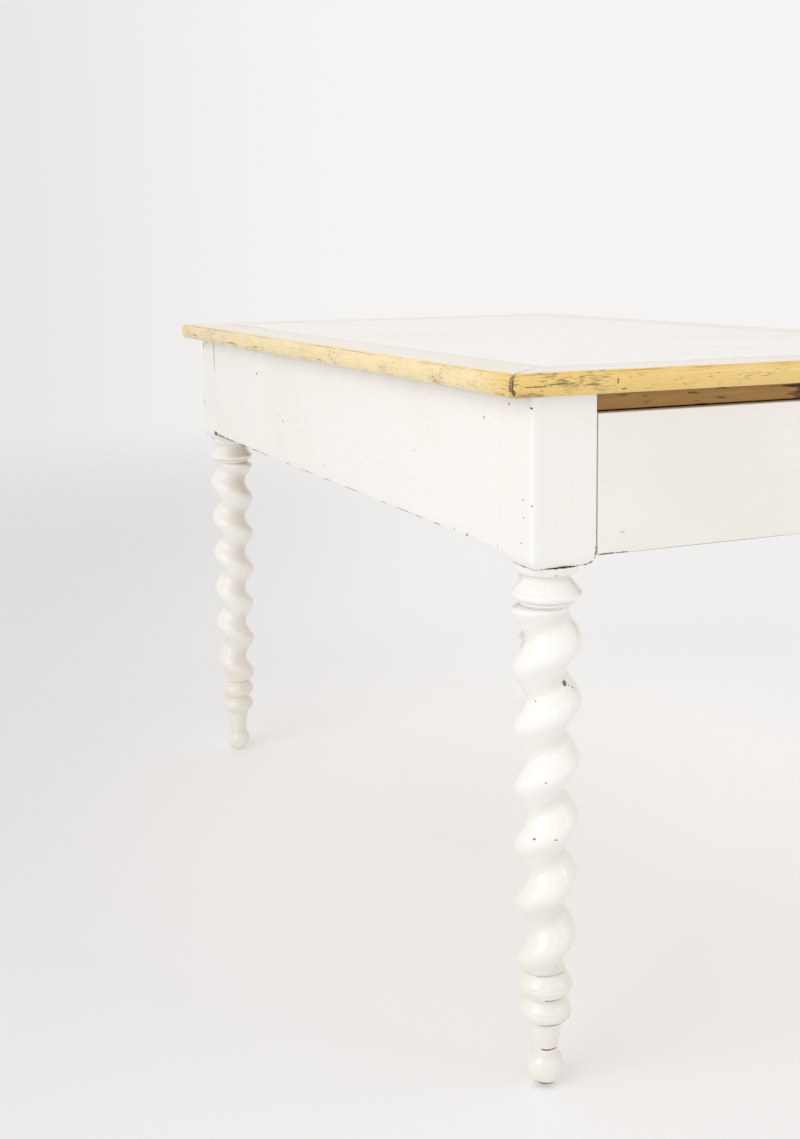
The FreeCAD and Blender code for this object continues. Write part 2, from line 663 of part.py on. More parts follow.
def drawer(end_name, turn):
    """The five boards of a drawer."""
    prefix = f"{end_name}_drawer"
    sockets = []
    pieces = []
    for side_name, side in (("left", -1), ("right", 1)):
        name = f"{prefix}_{side_name}_side"
        tail_row = tails(f"{name}_tails", side)
        sockets.append(tail_row)
        board = block(
            f"{name}_board",
            ordered(side, f"{side} * {SIDE_INNER_X}", f"{side} * {DRAWER_HALF}"),
            (f"- {FACE_BACK_Y}", f"- {DRAWER_END_Y}"),
            (SIDE_BOTTOM, SIDE_TOP),
        )
        groove = block(
            f"{name}_groove",
            ordered(side, f"{side} * {SIDE_INNER_X}", f"{side} * ( {SIDE_INNER_X} + drawer_groove )"),
            (f"- {FACE_Y}", f"- {DRAWER_END_Y}"),
            (PANEL_BOTTOM, PANEL_TOP),
        )
        housing = block(
            f"{name}_housing",
            ordered(side, f"{side} * {SIDE_INNER_X}", f"{side} * ( {SIDE_INNER_X} + drawer_housing )"),
            (f"- {BACK_FRONT_Y}", f"- {BACK_FRONT_Y} + drawer_side_thickness"),
            (PANEL_TOP, SIDE_TOP),
        )
        pieces.append(cut(name, join(f"{name}_whole", [board, tail_row]), [groove, housing]))
    face_board = block(
        f"{prefix}_face_board",
        (f"- {DRAWER_HALF}", DRAWER_HALF),
        (f"- {FACE_Y}", f"- {FACE_BACK_Y}"),
        (APRON_BOTTOM, FACE_TOP),
    )
    face_groove = block(
        f"{prefix}_face_groove",
        (f"- {SIDE_INNER_X}", SIDE_INNER_X),
        (f"- {FACE_BACK_Y} - drawer_groove", f"- {FACE_BACK_Y}"),
        (PANEL_BOTTOM, PANEL_TOP),
    )
    pieces.append(cut(f"{prefix}_face", face_board, sockets + [face_groove]))
    pieces.append(
        block(
            f"{prefix}_rear",
            (f"- {SIDE_INNER_X} - drawer_housing", f"{SIDE_INNER_X} + drawer_housing"),
            (f"- {BACK_FRONT_Y}", f"- {BACK_FRONT_Y} + drawer_side_thickness"),
            (PANEL_TOP, f"{SIDE_TOP} - drawer_back_drop"),
        )
    )
    reach = "drawer_groove - joint_play"
    pieces.append(
        block(
            f"{prefix}_bottom",
            (f"- {SIDE_INNER_X} - ( {reach} )", f"{SIDE_INNER_X} + {reach}"),
            (f"- {FACE_BACK_Y} - ( {reach} )", f"- {BACK_FRONT_Y} + drawer_side_thickness"),
            (PANEL_BOTTOM, PANEL_TOP),
        )
    )
    return [turned_about(piece, turn) for piece in pieces]


def turned_about(item, turn):
    """The object turned about the table's upright axis."""
    if turn == 0:
        return item
    name = item.Label
    item.Label = f"{name}_unturned"
    group = add("Part::Compound", name)
    group.Links = [item]
    return place(group, turn=turn)


# Every sub-part, in the order from the top down.

nodes = [
    border("top_border_front", "table_width", "table_length", 0),
    border("top_border_right", "table_length", "table_width", 90),
    border("top_border_back", "table_width", "table_length", 180),
    border("top_border_left", "table_length", "table_width", 270),
]
board_count = round(number("board_count"))
nodes += [panel_board(index, board_count) for index in range(board_count)]
turned = spindle()
legs = []
for end_name, end in (("front", -1), ("back", 1)):
    for side_name, side in (("left", -1), ("right", 1)):
        phase = number(f"{end_name}_twist_phase")
        if side > 0:
            phase = 180 - phase
        legs.append(leg(f"leg_{end_name}_{side_name}", side, end, phase, turned))
        nodes += strips(f"{end_name}_{side_name}", side, end)
    nodes += [upper_rail(f"upper_rail_{end_name}", end), lower_rail(f"lower_rail_{end_name}", end)]
all_legs = add("Part::Compound", "legs")
all_legs.Links = legs
nodes += [all_legs, apron("apron_left", -1), apron("apron_right", 1), centre_rail(), glue_blocks()]
nodes += drawer("front", 0)
nodes += drawer("back", 180)
document.recompute()

for item in document.Objects:
    if {"Invalid", "Error"} & set(item.State):
        raise RuntimeError(f"{item.Label} did not compute: {item.State}")
for item in nodes:
    if item.Shape.isNull() or not item.Shape.isValid() or not item.Shape.Solids:
        raise RuntimeError(f"{item.Label} has no valid solid")
if len(all_legs.Shape.Solids) != len(legs):
    raise RuntimeError("a leg is not one solid")

os.makedirs("parts", exist_ok=True)
for item in nodes:
    item.Shape.exportStep(f"parts/{item.Label}.step")
print(f"{len(nodes)} sub-parts, {sum(len(item.Shape.Solids) for item in nodes)} solids")
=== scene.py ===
"""Looks of a painted kitchen table with barley-twist legs and a drawer in each short end.

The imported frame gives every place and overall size, in metres: X across the table, Y along it and
Z up. Painted pieces are worked out here as fine surfaces with soft arrises, dents and open joints.
Bare boards are softened copies of their solids. Every finish is procedural and reads Object
coordinates, which are the frame's own.
"""

import logging
import math
from collections.abc import Callable, Sequence
from dataclasses import dataclass, field
from enum import Enum, IntEnum, StrEnum

import bmesh
import bpy
import numpy as np
from mathutils import Matrix, Vector


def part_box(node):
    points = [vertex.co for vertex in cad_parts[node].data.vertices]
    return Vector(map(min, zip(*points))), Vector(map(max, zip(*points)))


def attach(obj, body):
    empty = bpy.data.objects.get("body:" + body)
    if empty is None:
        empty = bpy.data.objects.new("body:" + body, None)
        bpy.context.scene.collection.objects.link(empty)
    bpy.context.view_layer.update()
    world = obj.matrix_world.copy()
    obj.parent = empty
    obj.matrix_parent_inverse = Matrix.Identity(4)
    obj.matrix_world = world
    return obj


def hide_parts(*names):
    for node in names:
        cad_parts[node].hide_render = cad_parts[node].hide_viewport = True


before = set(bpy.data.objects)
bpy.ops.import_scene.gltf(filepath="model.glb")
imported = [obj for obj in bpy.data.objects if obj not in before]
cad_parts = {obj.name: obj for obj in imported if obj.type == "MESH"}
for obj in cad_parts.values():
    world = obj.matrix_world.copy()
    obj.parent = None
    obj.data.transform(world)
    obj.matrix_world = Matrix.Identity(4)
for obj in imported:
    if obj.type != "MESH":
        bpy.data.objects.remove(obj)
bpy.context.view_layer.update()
LOG = logging.getLogger("kitchen_table")
DOUBLE = 1e-6  # Vertices this near to each other, in metres, are one.
ROUND = 0.0008  # An arris of at least this radius, in metres, is fully open to wear.

Socket = bpy.types.NodeSocket
Number = float | Socket
Colour = tuple[float, float, float, float]
Tint = Colour | Socket
Cover = Callable[["Graph"], Socket]


class Axis(Enum):
    """A direction of the frame, along which grain or brush strokes run."""

    X = 0
    Y = 1
    Z = 2


class Seed(IntEnum):
    """Numbers that fix the uneven fields."""

    NOSE = 21
    TWIST = 31
    TURNED = 41
    BLOCK = 51
    APRON = 61
    FACE = 81


class Tone(StrEnum):
    """Colours that several finishes share, as six hexadecimal digits."""

    PINE_DIRT = "6F5236"
    CHIPPED_LATE_WOOD = "5A3F2A"
    BETWEEN_STROKES = "D9CFBD"
    # Dirt and painted shade in hollows.
    HOLLOW_DIRT_AND_SHADE = "BFAF90"
    # Painted shade low on the legs.
    LOW_SHADE = "E2DDD1"
    YELLOW_STROKE = "D9AC55"
    YELLOW_CRACK = "A98448"
    # Dark joint and painted shade along the top's inner seam.
    SEAM_DIRT_AND_SHADE = "8F8970"
    RUBBED_LINE = "8E6C42"
    GREY_WOOD = "A08560"
    GREY_LATE_WOOD = "6E563C"


class Slot(Enum):
    """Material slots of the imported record."""

    WHITE = "white_paint"
    YELLOW = "yellow_paint"
    WOOD = "bare_wood"


# ---------------------------------------------------------------- shapes


def ripple(points: np.ndarray, size: float, seed: int) -> np.ndarray:
    """Smooth uneven values over points.

    Sixteen plane waves of about one wavelength, in directions and phases drawn from a seeded
    generator, are added and divided by the square root of their number.

    Args:
        points: coordinates in metres, of shape (..., 3).
        size: wavelength in metres.
        seed: number that fixes the waves.

    Returns:
        Values of about -1.5 to 1.5, of shape (...).
    """
    count = 16
    draw = np.random.default_rng(seed)
    ways = draw.normal(size=(count, 3))
    ways /= np.linalg.norm(ways, axis=1, keepdims=True)
    ways *= 2 * math.pi / size * draw.uniform(0.6, 1.4, (count, 1))
    return np.sin(points @ ways.T + draw.uniform(0, 2 * math.pi, count)).sum(-1) / math.sqrt(count)


def grid_faces(rows: int, columns: int, row_shift: int = 0) -> np.ndarray:
    """Quads of a grid that closes on itself from the last column to the first.

    Args:
        rows: number of rows of vertices.
        columns: number of columns of vertices.
        row_shift: rows by which the first column is ahead where the grid closes, as on a screw.

    Returns:
        Vertex numbers of each quad, of shape (n, 4).
    """
    row, column = np.meshgrid(np.arange(rows - 1), np.arange(columns), indexing="ij")
    after = (column + 1) % columns
    lift = np.where(after == 0, row_shift, 0)
    near = np.stack([row, row + lift, row + 1 + lift, row + 1], -1)
    across = np.stack([column, after, after, column], -1)
    kept = (near >= 0).all(-1) & (near < rows).all(-1)
    return (near * columns + across)[kept]


@dataclass
class Surface:
    """A closed skin: its vertices, its faces and named numbers at the vertices."""

    points: np.ndarray
    faces: np.ndarray
    marks: dict[str, np.ndarray] = field(default_factory=dict)

    @staticmethod
    def joined(parts: Sequence["Surface"]) -> "Surface":
        """Several skins as one, each with every mark of any of them.

        Args:
            parts: the skins.

        Returns:
            One skin with all their vertices and faces.
        """
        starts = np.cumsum([0] + [len(part.points) for part in parts[:-1]])
        names = sorted({name for part in parts for name in part.marks})
        blank = [np.zeros(len(part.points)) for part in parts]
        return Surface(
            np.concatenate([part.points for part in parts]),
            np.concatenate([part.faces + start for part, start in zip(parts, starts)]),
            {n: np.concatenate([p.marks.get(n, b) for p, b in zip(parts, blank)]) for n in names},
        )

    def piece(self, name: str, sharp: float = 40.0) -> bpy.types.Object:
        """Make the skin a mesh object whose faces point outwards.

        Args:
            name: the object's name.
            sharp: edges that turn by more than this many degrees stay sharp.

        Returns:
            The new object, at the origin.
        """
        mesh = bpy.data.meshes.new(name)
        mesh.from_pydata(self.points.tolist(), [], self.faces.tolist())
        for mark, values in self.marks.items():
            kept = mesh.attributes.new(mark, "FLOAT", "POINT")
            kept.data.foreach_set("value", values.astype(np.float32))
        tidy_mesh(mesh)
        mesh.set_sharp_from_angle(angle=math.radians(sharp))
        made = bpy.data.objects.new(name, mesh)
        bpy.context.scene.collection.objects.link(made)
        return made


def tidy_mesh(mesh: bpy.types.Mesh) -> None:
    """Merge double vertices, drop empty faces and turn all faces outwards, with smooth shading.

    Args:
        mesh: the mesh, which is changed in place.
    """
    work = bmesh.new()
    work.from_mesh(mesh)
    bmesh.ops.remove_doubles(work, verts=work.verts, dist=DOUBLE)
    bmesh.ops.dissolve_degenerate(work, edges=work.edges, dist=DOUBLE)
    bmesh.ops.recalc_face_normals(work, faces=work.faces)
    work.to_mesh(mesh)
    work.free()
    mesh.shade_smooth()


def eased_loop(
    corners: np.ndarray, radii: np.ndarray, steps: int = 4
) -> tuple[np.ndarray, np.ndarray]:
    """Round the corners of a closed outline.

    Each corner is left by its radius along both sides, and the cut is a quadratic curve: a share of
    the way squared towards each side's point, and twice the product of the shares at the corner.

    Args:
        corners: the outline's corners, of shape (n, 2).
        radii: how far from each corner its curve starts; 0 keeps the corner as one point.
        steps: points on each curve.

    Returns:
        The points, and for each how much it lies on a rounded arris, from 0 to 1.
    """
    before = np.roll(corners, 1, axis=0) - corners
    after = np.roll(corners, -1, axis=0) - corners
    start = corners + before / np.linalg.norm(before, axis=1, keepdims=True) * radii[:, None]
    stop = corners + after / np.linalg.norm(after, axis=1, keepdims=True) * radii[:, None]
    share = np.linspace(0, 1, steps)[:, None]
    bend = 2 * share * (1 - share) * corners[:, None]
    curve = (1 - share) ** 2 * start[:, None] + bend + share ** 2 * stop[:, None]
    eased = np.repeat(radii[:, None] > 0, steps, axis=1)
    kept = eased | (np.arange(steps) == 0)
    return curve[kept], eased[kept].astype(float)


def dented(surface: Surface, depth: float, size: float, seed: int) -> Surface:
    """Wear dents into a skin's arrises.

    Each vertex marked as arris moves towards the skin's middle line by the depth times the part of
    an uneven field that rises over a threshold.

    Args:
        surface: the skin, with the mark "arris".
        depth: deepest dent in metres.
        size: length of a dent in metres.
        seed: number that fixes the dents.

    Returns:
        The worn skin.
    """
    uneven = ripple(surface.points, size, seed) + 0.6 * ripple(surface.points, size / 3, seed + 1)
    bite = np.clip(uneven - 1.3, 0, 1) * surface.marks["arris"]
    low, high = surface.points.min(0), surface.points.max(0)
    run = int(np.argmax(high - low))
    inward = (low + high) / 2 - surface.points
    inward[:, run] = 0
    inward = np.sign(inward) * (np.abs(inward) > 0.3 * (high - low) / 2)
    surface.points = surface.points + inward * (depth * bite)[:, None]
    surface.marks["worn"] = np.clip(bite * 2, 0, 1)
    return surface


def bar(
    low: Sequence[float], high: Sequence[float], run: Axis, arrises: Sequence[float],
    ends: Sequence[float], pitch: float = 0.004,
) -> Surface:
    """A board whose arrises and ends are rounded, each by its own radius.

    A section is the board's outline set in by a distance: each corner is a quarter circle whose
    radius shrinks by that distance, and each side between holds three points. At an end the
    distance is the end's radius less its radius times the sine of an angle, while the place moves
    on by the radius less its radius times the cosine. Past that the ends close to a point.

    Args:
        low: lowest corner in metres.
        high: highest corner in metres.
        run: direction of the board's length.
        arrises: radii of the four long arrises. Across the run they lie high and high, low and
            high, low and low, high and low.
        ends: radii of the arrises round the low and the high end.
        pitch: distance of sections along the run in metres.

    Returns:
        The closed skin, with the mark "arris" where a rounding of any size is.
    """
    low_corner, high_corner = np.array(low, float), np.array(high, float)
    first, second = (index for index in range(3) if index != run.value)
    half, middle = (high_corner - low_corner) / 2, (high_corner + low_corner) / 2
    rise = np.linspace(0, math.pi / 2, 5)
    start, stop = ends[0] - half[run.value], half[run.value] - ends[1]
    count = max(3, int((stop - start) / pitch))
    along = np.concatenate([
        start - ends[0] * np.cos(rise),
        np.linspace(start, stop, count)[1:-1],
        stop + ends[1] * np.cos(rise[::-1]),
    ])
    fall = 1 - np.sin(rise)
    inset = np.concatenate([ends[0] * fall, np.zeros(count - 2), ends[1] * fall[::-1]])
    angle = np.linspace(0, math.pi / 2, 5) + np.arange(4)[:, None] * math.pi / 2
    signs = np.array([[1, 1], [-1, 1], [-1, -1], [1, -1]])
    radius = np.maximum(np.array(arrises) - inset[:, None], 2e-5)[..., None]
    centre = signs * (half[[first, second]] - inset[:, None, None] - radius)
    curve = centre[:, :, None] + radius[..., None] * np.stack([np.cos(angle), np.sin(angle)], -1)
    after = np.roll(curve[:, :, :1], -1, axis=1)
    share = np.array([0.06, 0.5, 0.94])[:, None]
    side = curve[:, :, -1:] * (1 - share) + after * share
    section = np.concatenate([curve, side], axis=2).reshape(len(along), -1, 2)
    closed = np.concatenate([section[:1] * 0, section, section[-1:] * 0])
    level = np.concatenate([along[:1], along, along[-1:]])
    points = np.zeros((*closed.shape[:2], 3))
    points[:, :, first] = middle[first] + closed[:, :, 0]
    points[:, :, second] = middle[second] + closed[:, :, 1]
    points[:, :, run.value] = middle[run.value] + level[:, None]
    weight = np.clip(np.array(arrises) / ROUND, 0, 1)[:, None] * (np.arange(8) < 5)
    worn = np.repeat(weight.reshape(1, -1), len(level), axis=0)
    worn[1:6] = np.maximum(worn[1:6], min(1, ends[0] / ROUND))
    worn[-6:-1] = np.maximum(worn[-6:-1], min(1, ends[1] / ROUND))
    return Surface(points.reshape(-1, 3), grid_faces(*closed.shape[:2]), {"arris": worn.ravel()})


def turned(
    profile: np.ndarray,
    centre: tuple[float, float],
    marks: dict[str, np.ndarray],
    count: int = 96,
) -> Surface:
    """A turned form: the profile's radius and height carried round an upright axis.

    Args:
        profile: radius and height of each point, of shape (n, 2).
        centre: X and Y of the axis.
        marks: named numbers at the profile's points.
        count: vertices round the axis.

    Returns:
        The skin, closed where the profile starts and ends on the axis.
    """
    angle = np.linspace(0, 2 * math.pi, count, endpoint=False)
    radius, height = profile[:, :1], profile[:, 1:]
    across, ahead = centre[0] + radius * np.cos(angle), centre[1] + radius * np.sin(angle)
    points = np.stack([across, ahead, height + 0 * angle], -1)
    spread = {name: np.repeat(values, count) for name, values in marks.items()}
    return Surface(points.reshape(-1, 3), grid_faces(len(profile), count), spread)


# ---------------------------------------------------------------- finishes


def linear(code: str) -> Colour:
    """A colour written as six hexadecimal digits, in the renderer's linear values.

    Args:
        code: red, green and blue, two digits each.

    Returns:
        Linear red, green and blue, and 1 for opaque.
    """
    parts = [int(code[index:index + 2], 16) / 255 for index in (0, 2, 4)]
    red, green, blue = (p / 12.92 if p <= 0.04045 else ((p + 0.055) / 1.055) ** 2.4 for p in parts)
    return (red, green, blue, 1.0)


class Graph:
    """A material's node tree, built with short calls that hand back output sockets."""

    def __init__(self, name: str) -> None:
        """Start an empty material whose patterns read Object coordinates.

        Args:
            name: the material's name.
        """
        self.material = bpy.data.materials.new(name)
        self.material.use_nodes = True
        self.tree = self.material.node_tree
        self.tree.nodes.clear()
        self.place = self.node("ShaderNodeTexCoord").outputs["Object"]
        parts = self.node("ShaderNodeSeparateXYZ", {"Vector": self.place}).outputs
        self.x, self.y, self.z = parts[0], parts[1], parts[2]

    def node(
        self, kind: str, inputs: dict[str | int, object] | None = None, **settings: object
    ) -> bpy.types.Node:
        """Add a node, with its settings and with values or links at its inputs.

        Args:
            kind: the node's type.
            inputs: values or links, by the input's name or number.
            settings: the node's own settings.

        Returns:
            The new node.
        """
        made = self.tree.nodes.new(kind)
        for key, value in settings.items():
            setattr(made, key, value)
        for key, value in (inputs or {}).items():
            if isinstance(value, bpy.types.NodeSocket):
                self.tree.links.new(value, made.inputs[key])
            else:
                made.inputs[key].default_value = value
        return made

    def math(self, operation: str, *values: Number) -> Socket:
        """The result of a Math node."""
        return self.node("ShaderNodeMath", dict(enumerate(values)), operation=operation).outputs[0]

    def plus(self, first: Number, second: Number) -> Socket:
        """The sum of two numbers."""
        return self.math("ADD", first, second)

    def minus(self, first: Number, second: Number) -> Socket:
        """The first number less the second."""
        return self.math("SUBTRACT", first, second)

    def times(self, first: Number, second: Number) -> Socket:
        """The product of two numbers."""
        return self.math("MULTIPLY", first, second)

    def most(self, first: Number, second: Number) -> Socket:
        """The larger of two numbers."""
        return self.math("MAXIMUM", first, second)

    def size(self, value: Number) -> Socket:
        """A number without its sign."""
        return self.math("ABSOLUTE", value)

    def length(self, place: Socket, point: Sequence[float] | None = None) -> Socket:
        """How far a place lies from a point, or else from the middle.

        Args:
            place: the place.
            point: the point to measure from.

        Returns:
            The distance.
        """
        if point is not None:
            inputs = {0: place, 1: point}
            place = self.node("ShaderNodeVectorMath", inputs, operation="SUBTRACT").outputs[0]
        return self.node("ShaderNodeVectorMath", {0: place}, operation="LENGTH").outputs["Value"]

    def step(self, value: Socket, low: float, high: float) -> Socket:
        """A smooth step from 0 at low to 1 at high, or the other way where low is the higher.

        Args:
            value: the number that is stepped.
            low: where the step gives 0.
            high: where it gives 1.

        Returns:
            The stepped value, from 0 to 1.
        """
        ends = {"Value": value, "From Min": min(low, high), "From Max": max(low, high)}
        ends["To Min"], ends["To Max"] = (0.0, 1.0) if low < high else (1.0, 0.0)
        return self.node("ShaderNodeMapRange", ends, interpolation_type="SMOOTHSTEP").outputs[0]

    def noise(
        self,
        size: float,
        detail: float = 2.0,
        stretch: tuple[float, float, float] = (1.0, 1.0, 1.0),
        shift: float = 0.0,
    ) -> Socket:
        """Uneven values of about 0.3 to 0.7.

        Args:
            size: size of a patch in metres.
            detail: how many finer layers are added.
            stretch: scales of the three directions; a small one draws the patches out.
            shift: moves the pattern along.

        Returns:
            The values.
        """
        inputs = {"Vector": self.place, "Scale": stretch, "Location": (shift,) * 3}
        moved = self.node("ShaderNodeMapping", inputs)
        inputs = {"Vector": moved.outputs[0], "Scale": 1 / size, "Detail": detail}
        return self.node("ShaderNodeTexNoise", inputs).outputs["Fac"]

    def crackle(self, size: float, width: float) -> Socket:
        """1 on a net of wandering cracks whose cells are of that size in metres, 0 between them.

        Args:
            size: size of a cell in metres.
            width: half width of a crack as a share of a cell.

        Returns:
            The net of cracks.
        """
        inputs = {"Vector": self.place, "Scale": 0.7 / size, "Detail": 3.0}
        wander = self.node("ShaderNodeTexNoise", inputs).outputs["Color"]
        inputs = {0: wander, 1: (size,) * 3}
        moved = self.node("ShaderNodeVectorMath", inputs, operation="MULTIPLY").outputs[0]
        place = self.node("ShaderNodeVectorMath", {0: self.place, 1: moved}, operation="ADD")
        inputs = {"Vector": place.outputs[0], "Scale": 1 / size}
        cells = self.node("ShaderNodeTexVoronoi", inputs, feature="DISTANCE_TO_EDGE")
        return self.step(cells.outputs["Distance"], width, 0.0)

    def mix(self, share: Number, first: Tint, second: Tint) -> Socket:
        """Two colours mixed by a share."""
        inputs = {0: share, 6: first, 7: second}
        return self.node("ShaderNodeMix", inputs, data_type="RGBA").outputs[2]

    def blend(self, share: Number, first: Number, second: Number) -> Socket:
        """Two numbers mixed by a share."""
        inputs = {0: share, 2: first, 3: second}
        return self.node("ShaderNodeMix", inputs, data_type="FLOAT").outputs[0]

    def layers(self, share: Number, first: "Layer", second: "Layer") -> "Layer":
        """Two layers mixed by a share.

        Args:
            share: how much of the second layer shows.
            first: what shows at a share of 0.
            second: what shows at a share of 1.

        Returns:
            The mixed layer.
        """
        return Layer(
            self.mix(share, first.colour, second.colour),
            self.blend(share, first.roughness, second.roughness),
            self.blend(share, first.height, second.height),
        )

    def chipped(self, bare: Socket, coat: "Layer", wood: "Layer", depth: float) -> "Layer":
        """A coat with the wood under it laid bare in places, deeper than the coat.

        Args:
            bare: where the wood shows, from 0 to 1.
            coat: the coat.
            wood: the wood under it.
            depth: how far the wood lies under the coat's surface, in metres.

        Returns:
            The chipped coat.
        """
        return Layer(
            self.mix(bare, coat.colour, wood.colour),
            self.blend(bare, coat.roughness, wood.roughness),
            self.minus(coat.height, self.times(bare, depth)),
        )

    def mark(self, name: str) -> Socket:
        """A number kept at the mesh's vertices."""
        return self.node("ShaderNodeAttribute", attribute_name=name).outputs["Fac"]

    def finish(self, layer: "Layer", **constant: float | Colour) -> bpy.types.Material:
        """Close the graph with one Principled shader.

        Args:
            layer: what the material shows.
            constant: values set on the shader's own sockets, with underscores for spaces.

        Returns:
            The finished material.
        """
        inputs = {"Height": layer.height, "Distance": 1.0, "Strength": 1.0}
        bump = self.node("ShaderNodeBump", inputs).outputs[0]
        inputs = {"Base Color": layer.colour, "Roughness": layer.roughness, "Normal": bump}
        shader = self.node("ShaderNodeBsdfPrincipled", inputs)
        for name, value in constant.items():
            shader.inputs[name.replace("_", " ")].default_value = value
        self.node("ShaderNodeOutputMaterial", {"Surface": shader.outputs[0]})
        return self.material


@dataclass(frozen=True)
class Layer:
    """What a coat shows at each place: colour, roughness and relief in metres."""

    colour: Socket
    roughness: Socket
    height: Socket


def along(grain: Axis, share: float) -> tuple[float, float, float]:
    """Scales that draw a pattern out along the grain to 1 / share times its size."""
    return tuple(share if index == grain.value else 1.0 for index in range(3))


@dataclass(frozen=True)
class BareWood:
    """Planed pine, darkened with age.

    Attributes:
        name: the material's name.
        grain: direction of the wood.
        light, dark: early and late wood.
        shift: moves all patterns along.
        fibres, ridges: relief of fibres and of late wood, in metres.
    """

    name: str
    grain: Axis
    light: str = "C79F6B"
    dark: str = "8D6236"
    shift: float = 0.0
    fibres: float = 0.00018
    ridges: float = 0.00005

    def layer(self, graph: Graph) -> Layer:
        """Broad bands of early and late wood, fine fibres and a few dirty patches.

        Args:
            graph: the material's graph.

        Returns:
            The wood's layer.
        """
        bands = graph.noise(0.016, 2.0, along(self.grain, 0.06), self.shift)
        rings = graph.math("PINGPONG", graph.times(bands, 9.0), 1.0)
        late = graph.step(rings, 0.55, 0.95)
        fibre = graph.noise(0.0012, 3.0, along(self.grain, 0.03), self.shift)
        patch = graph.noise(0.16, 3.0, along(self.grain, 0.4), self.shift + 3)
        tone = graph.mix(late, linear(self.light), linear(self.dark))
        fine = graph.times(graph.step(fibre, 0.42, 0.62), 0.45)
        tone = graph.mix(fine, tone, linear(self.dark))
        dirty = graph.times(graph.step(patch, 0.5, 0.72), 0.5)
        tone = graph.mix(dirty, tone, linear(Tone.PINE_DIRT))
        rough = graph.blend(late, 0.72, 0.6)
        relief = graph.plus(graph.times(fibre, self.fibres), graph.times(late, self.ridges))
        return Layer(tone, rough, relief)

    def material(self) -> bpy.types.Material:
        """The wood with nothing over it."""
        graph = Graph(self.name)
        return graph.finish(self.layer(graph), Specular_IOR_Level=0.35)


@dataclass(frozen=True)
class Spot:
    """A place where the paint is knocked off.

    Attributes:
        centre: its middle, in metres.
        reach: its half sizes, in metres.
        turn: degrees about Z by which its sizes are turned.
    """

    centre: tuple[float, float, float]
    reach: tuple[float, float, float]
    turn: float = 0.0

    def mask(self, graph: Graph, ragged: Socket) -> Socket:
        """1 inside a ragged ellipsoid, 0 outside it.

        Args:
            graph: the material's graph.
            ragged: uneven values that fray its rim.

        Returns:
            The mask.
        """
        turn = (0, 0, math.radians(self.turn))
        inputs = {"Location": self.centre, "Scale": self.reach, "Rotation": turn}
        inputs["Vector"] = graph.place
        inside = graph.node("ShaderNodeMapping", inputs, vector_type="TEXTURE").outputs[0]
        return graph.step(graph.plus(graph.length(inside), ragged), 1.1, 0.9)


PAINT_THICK = 0.0002  # How far a coat stands over bare boards, in metres.
VARNISH = {"Specular_IOR_Level": 0.5, "Coat_Weight": 0.2, "Coat_Roughness": 0.08}


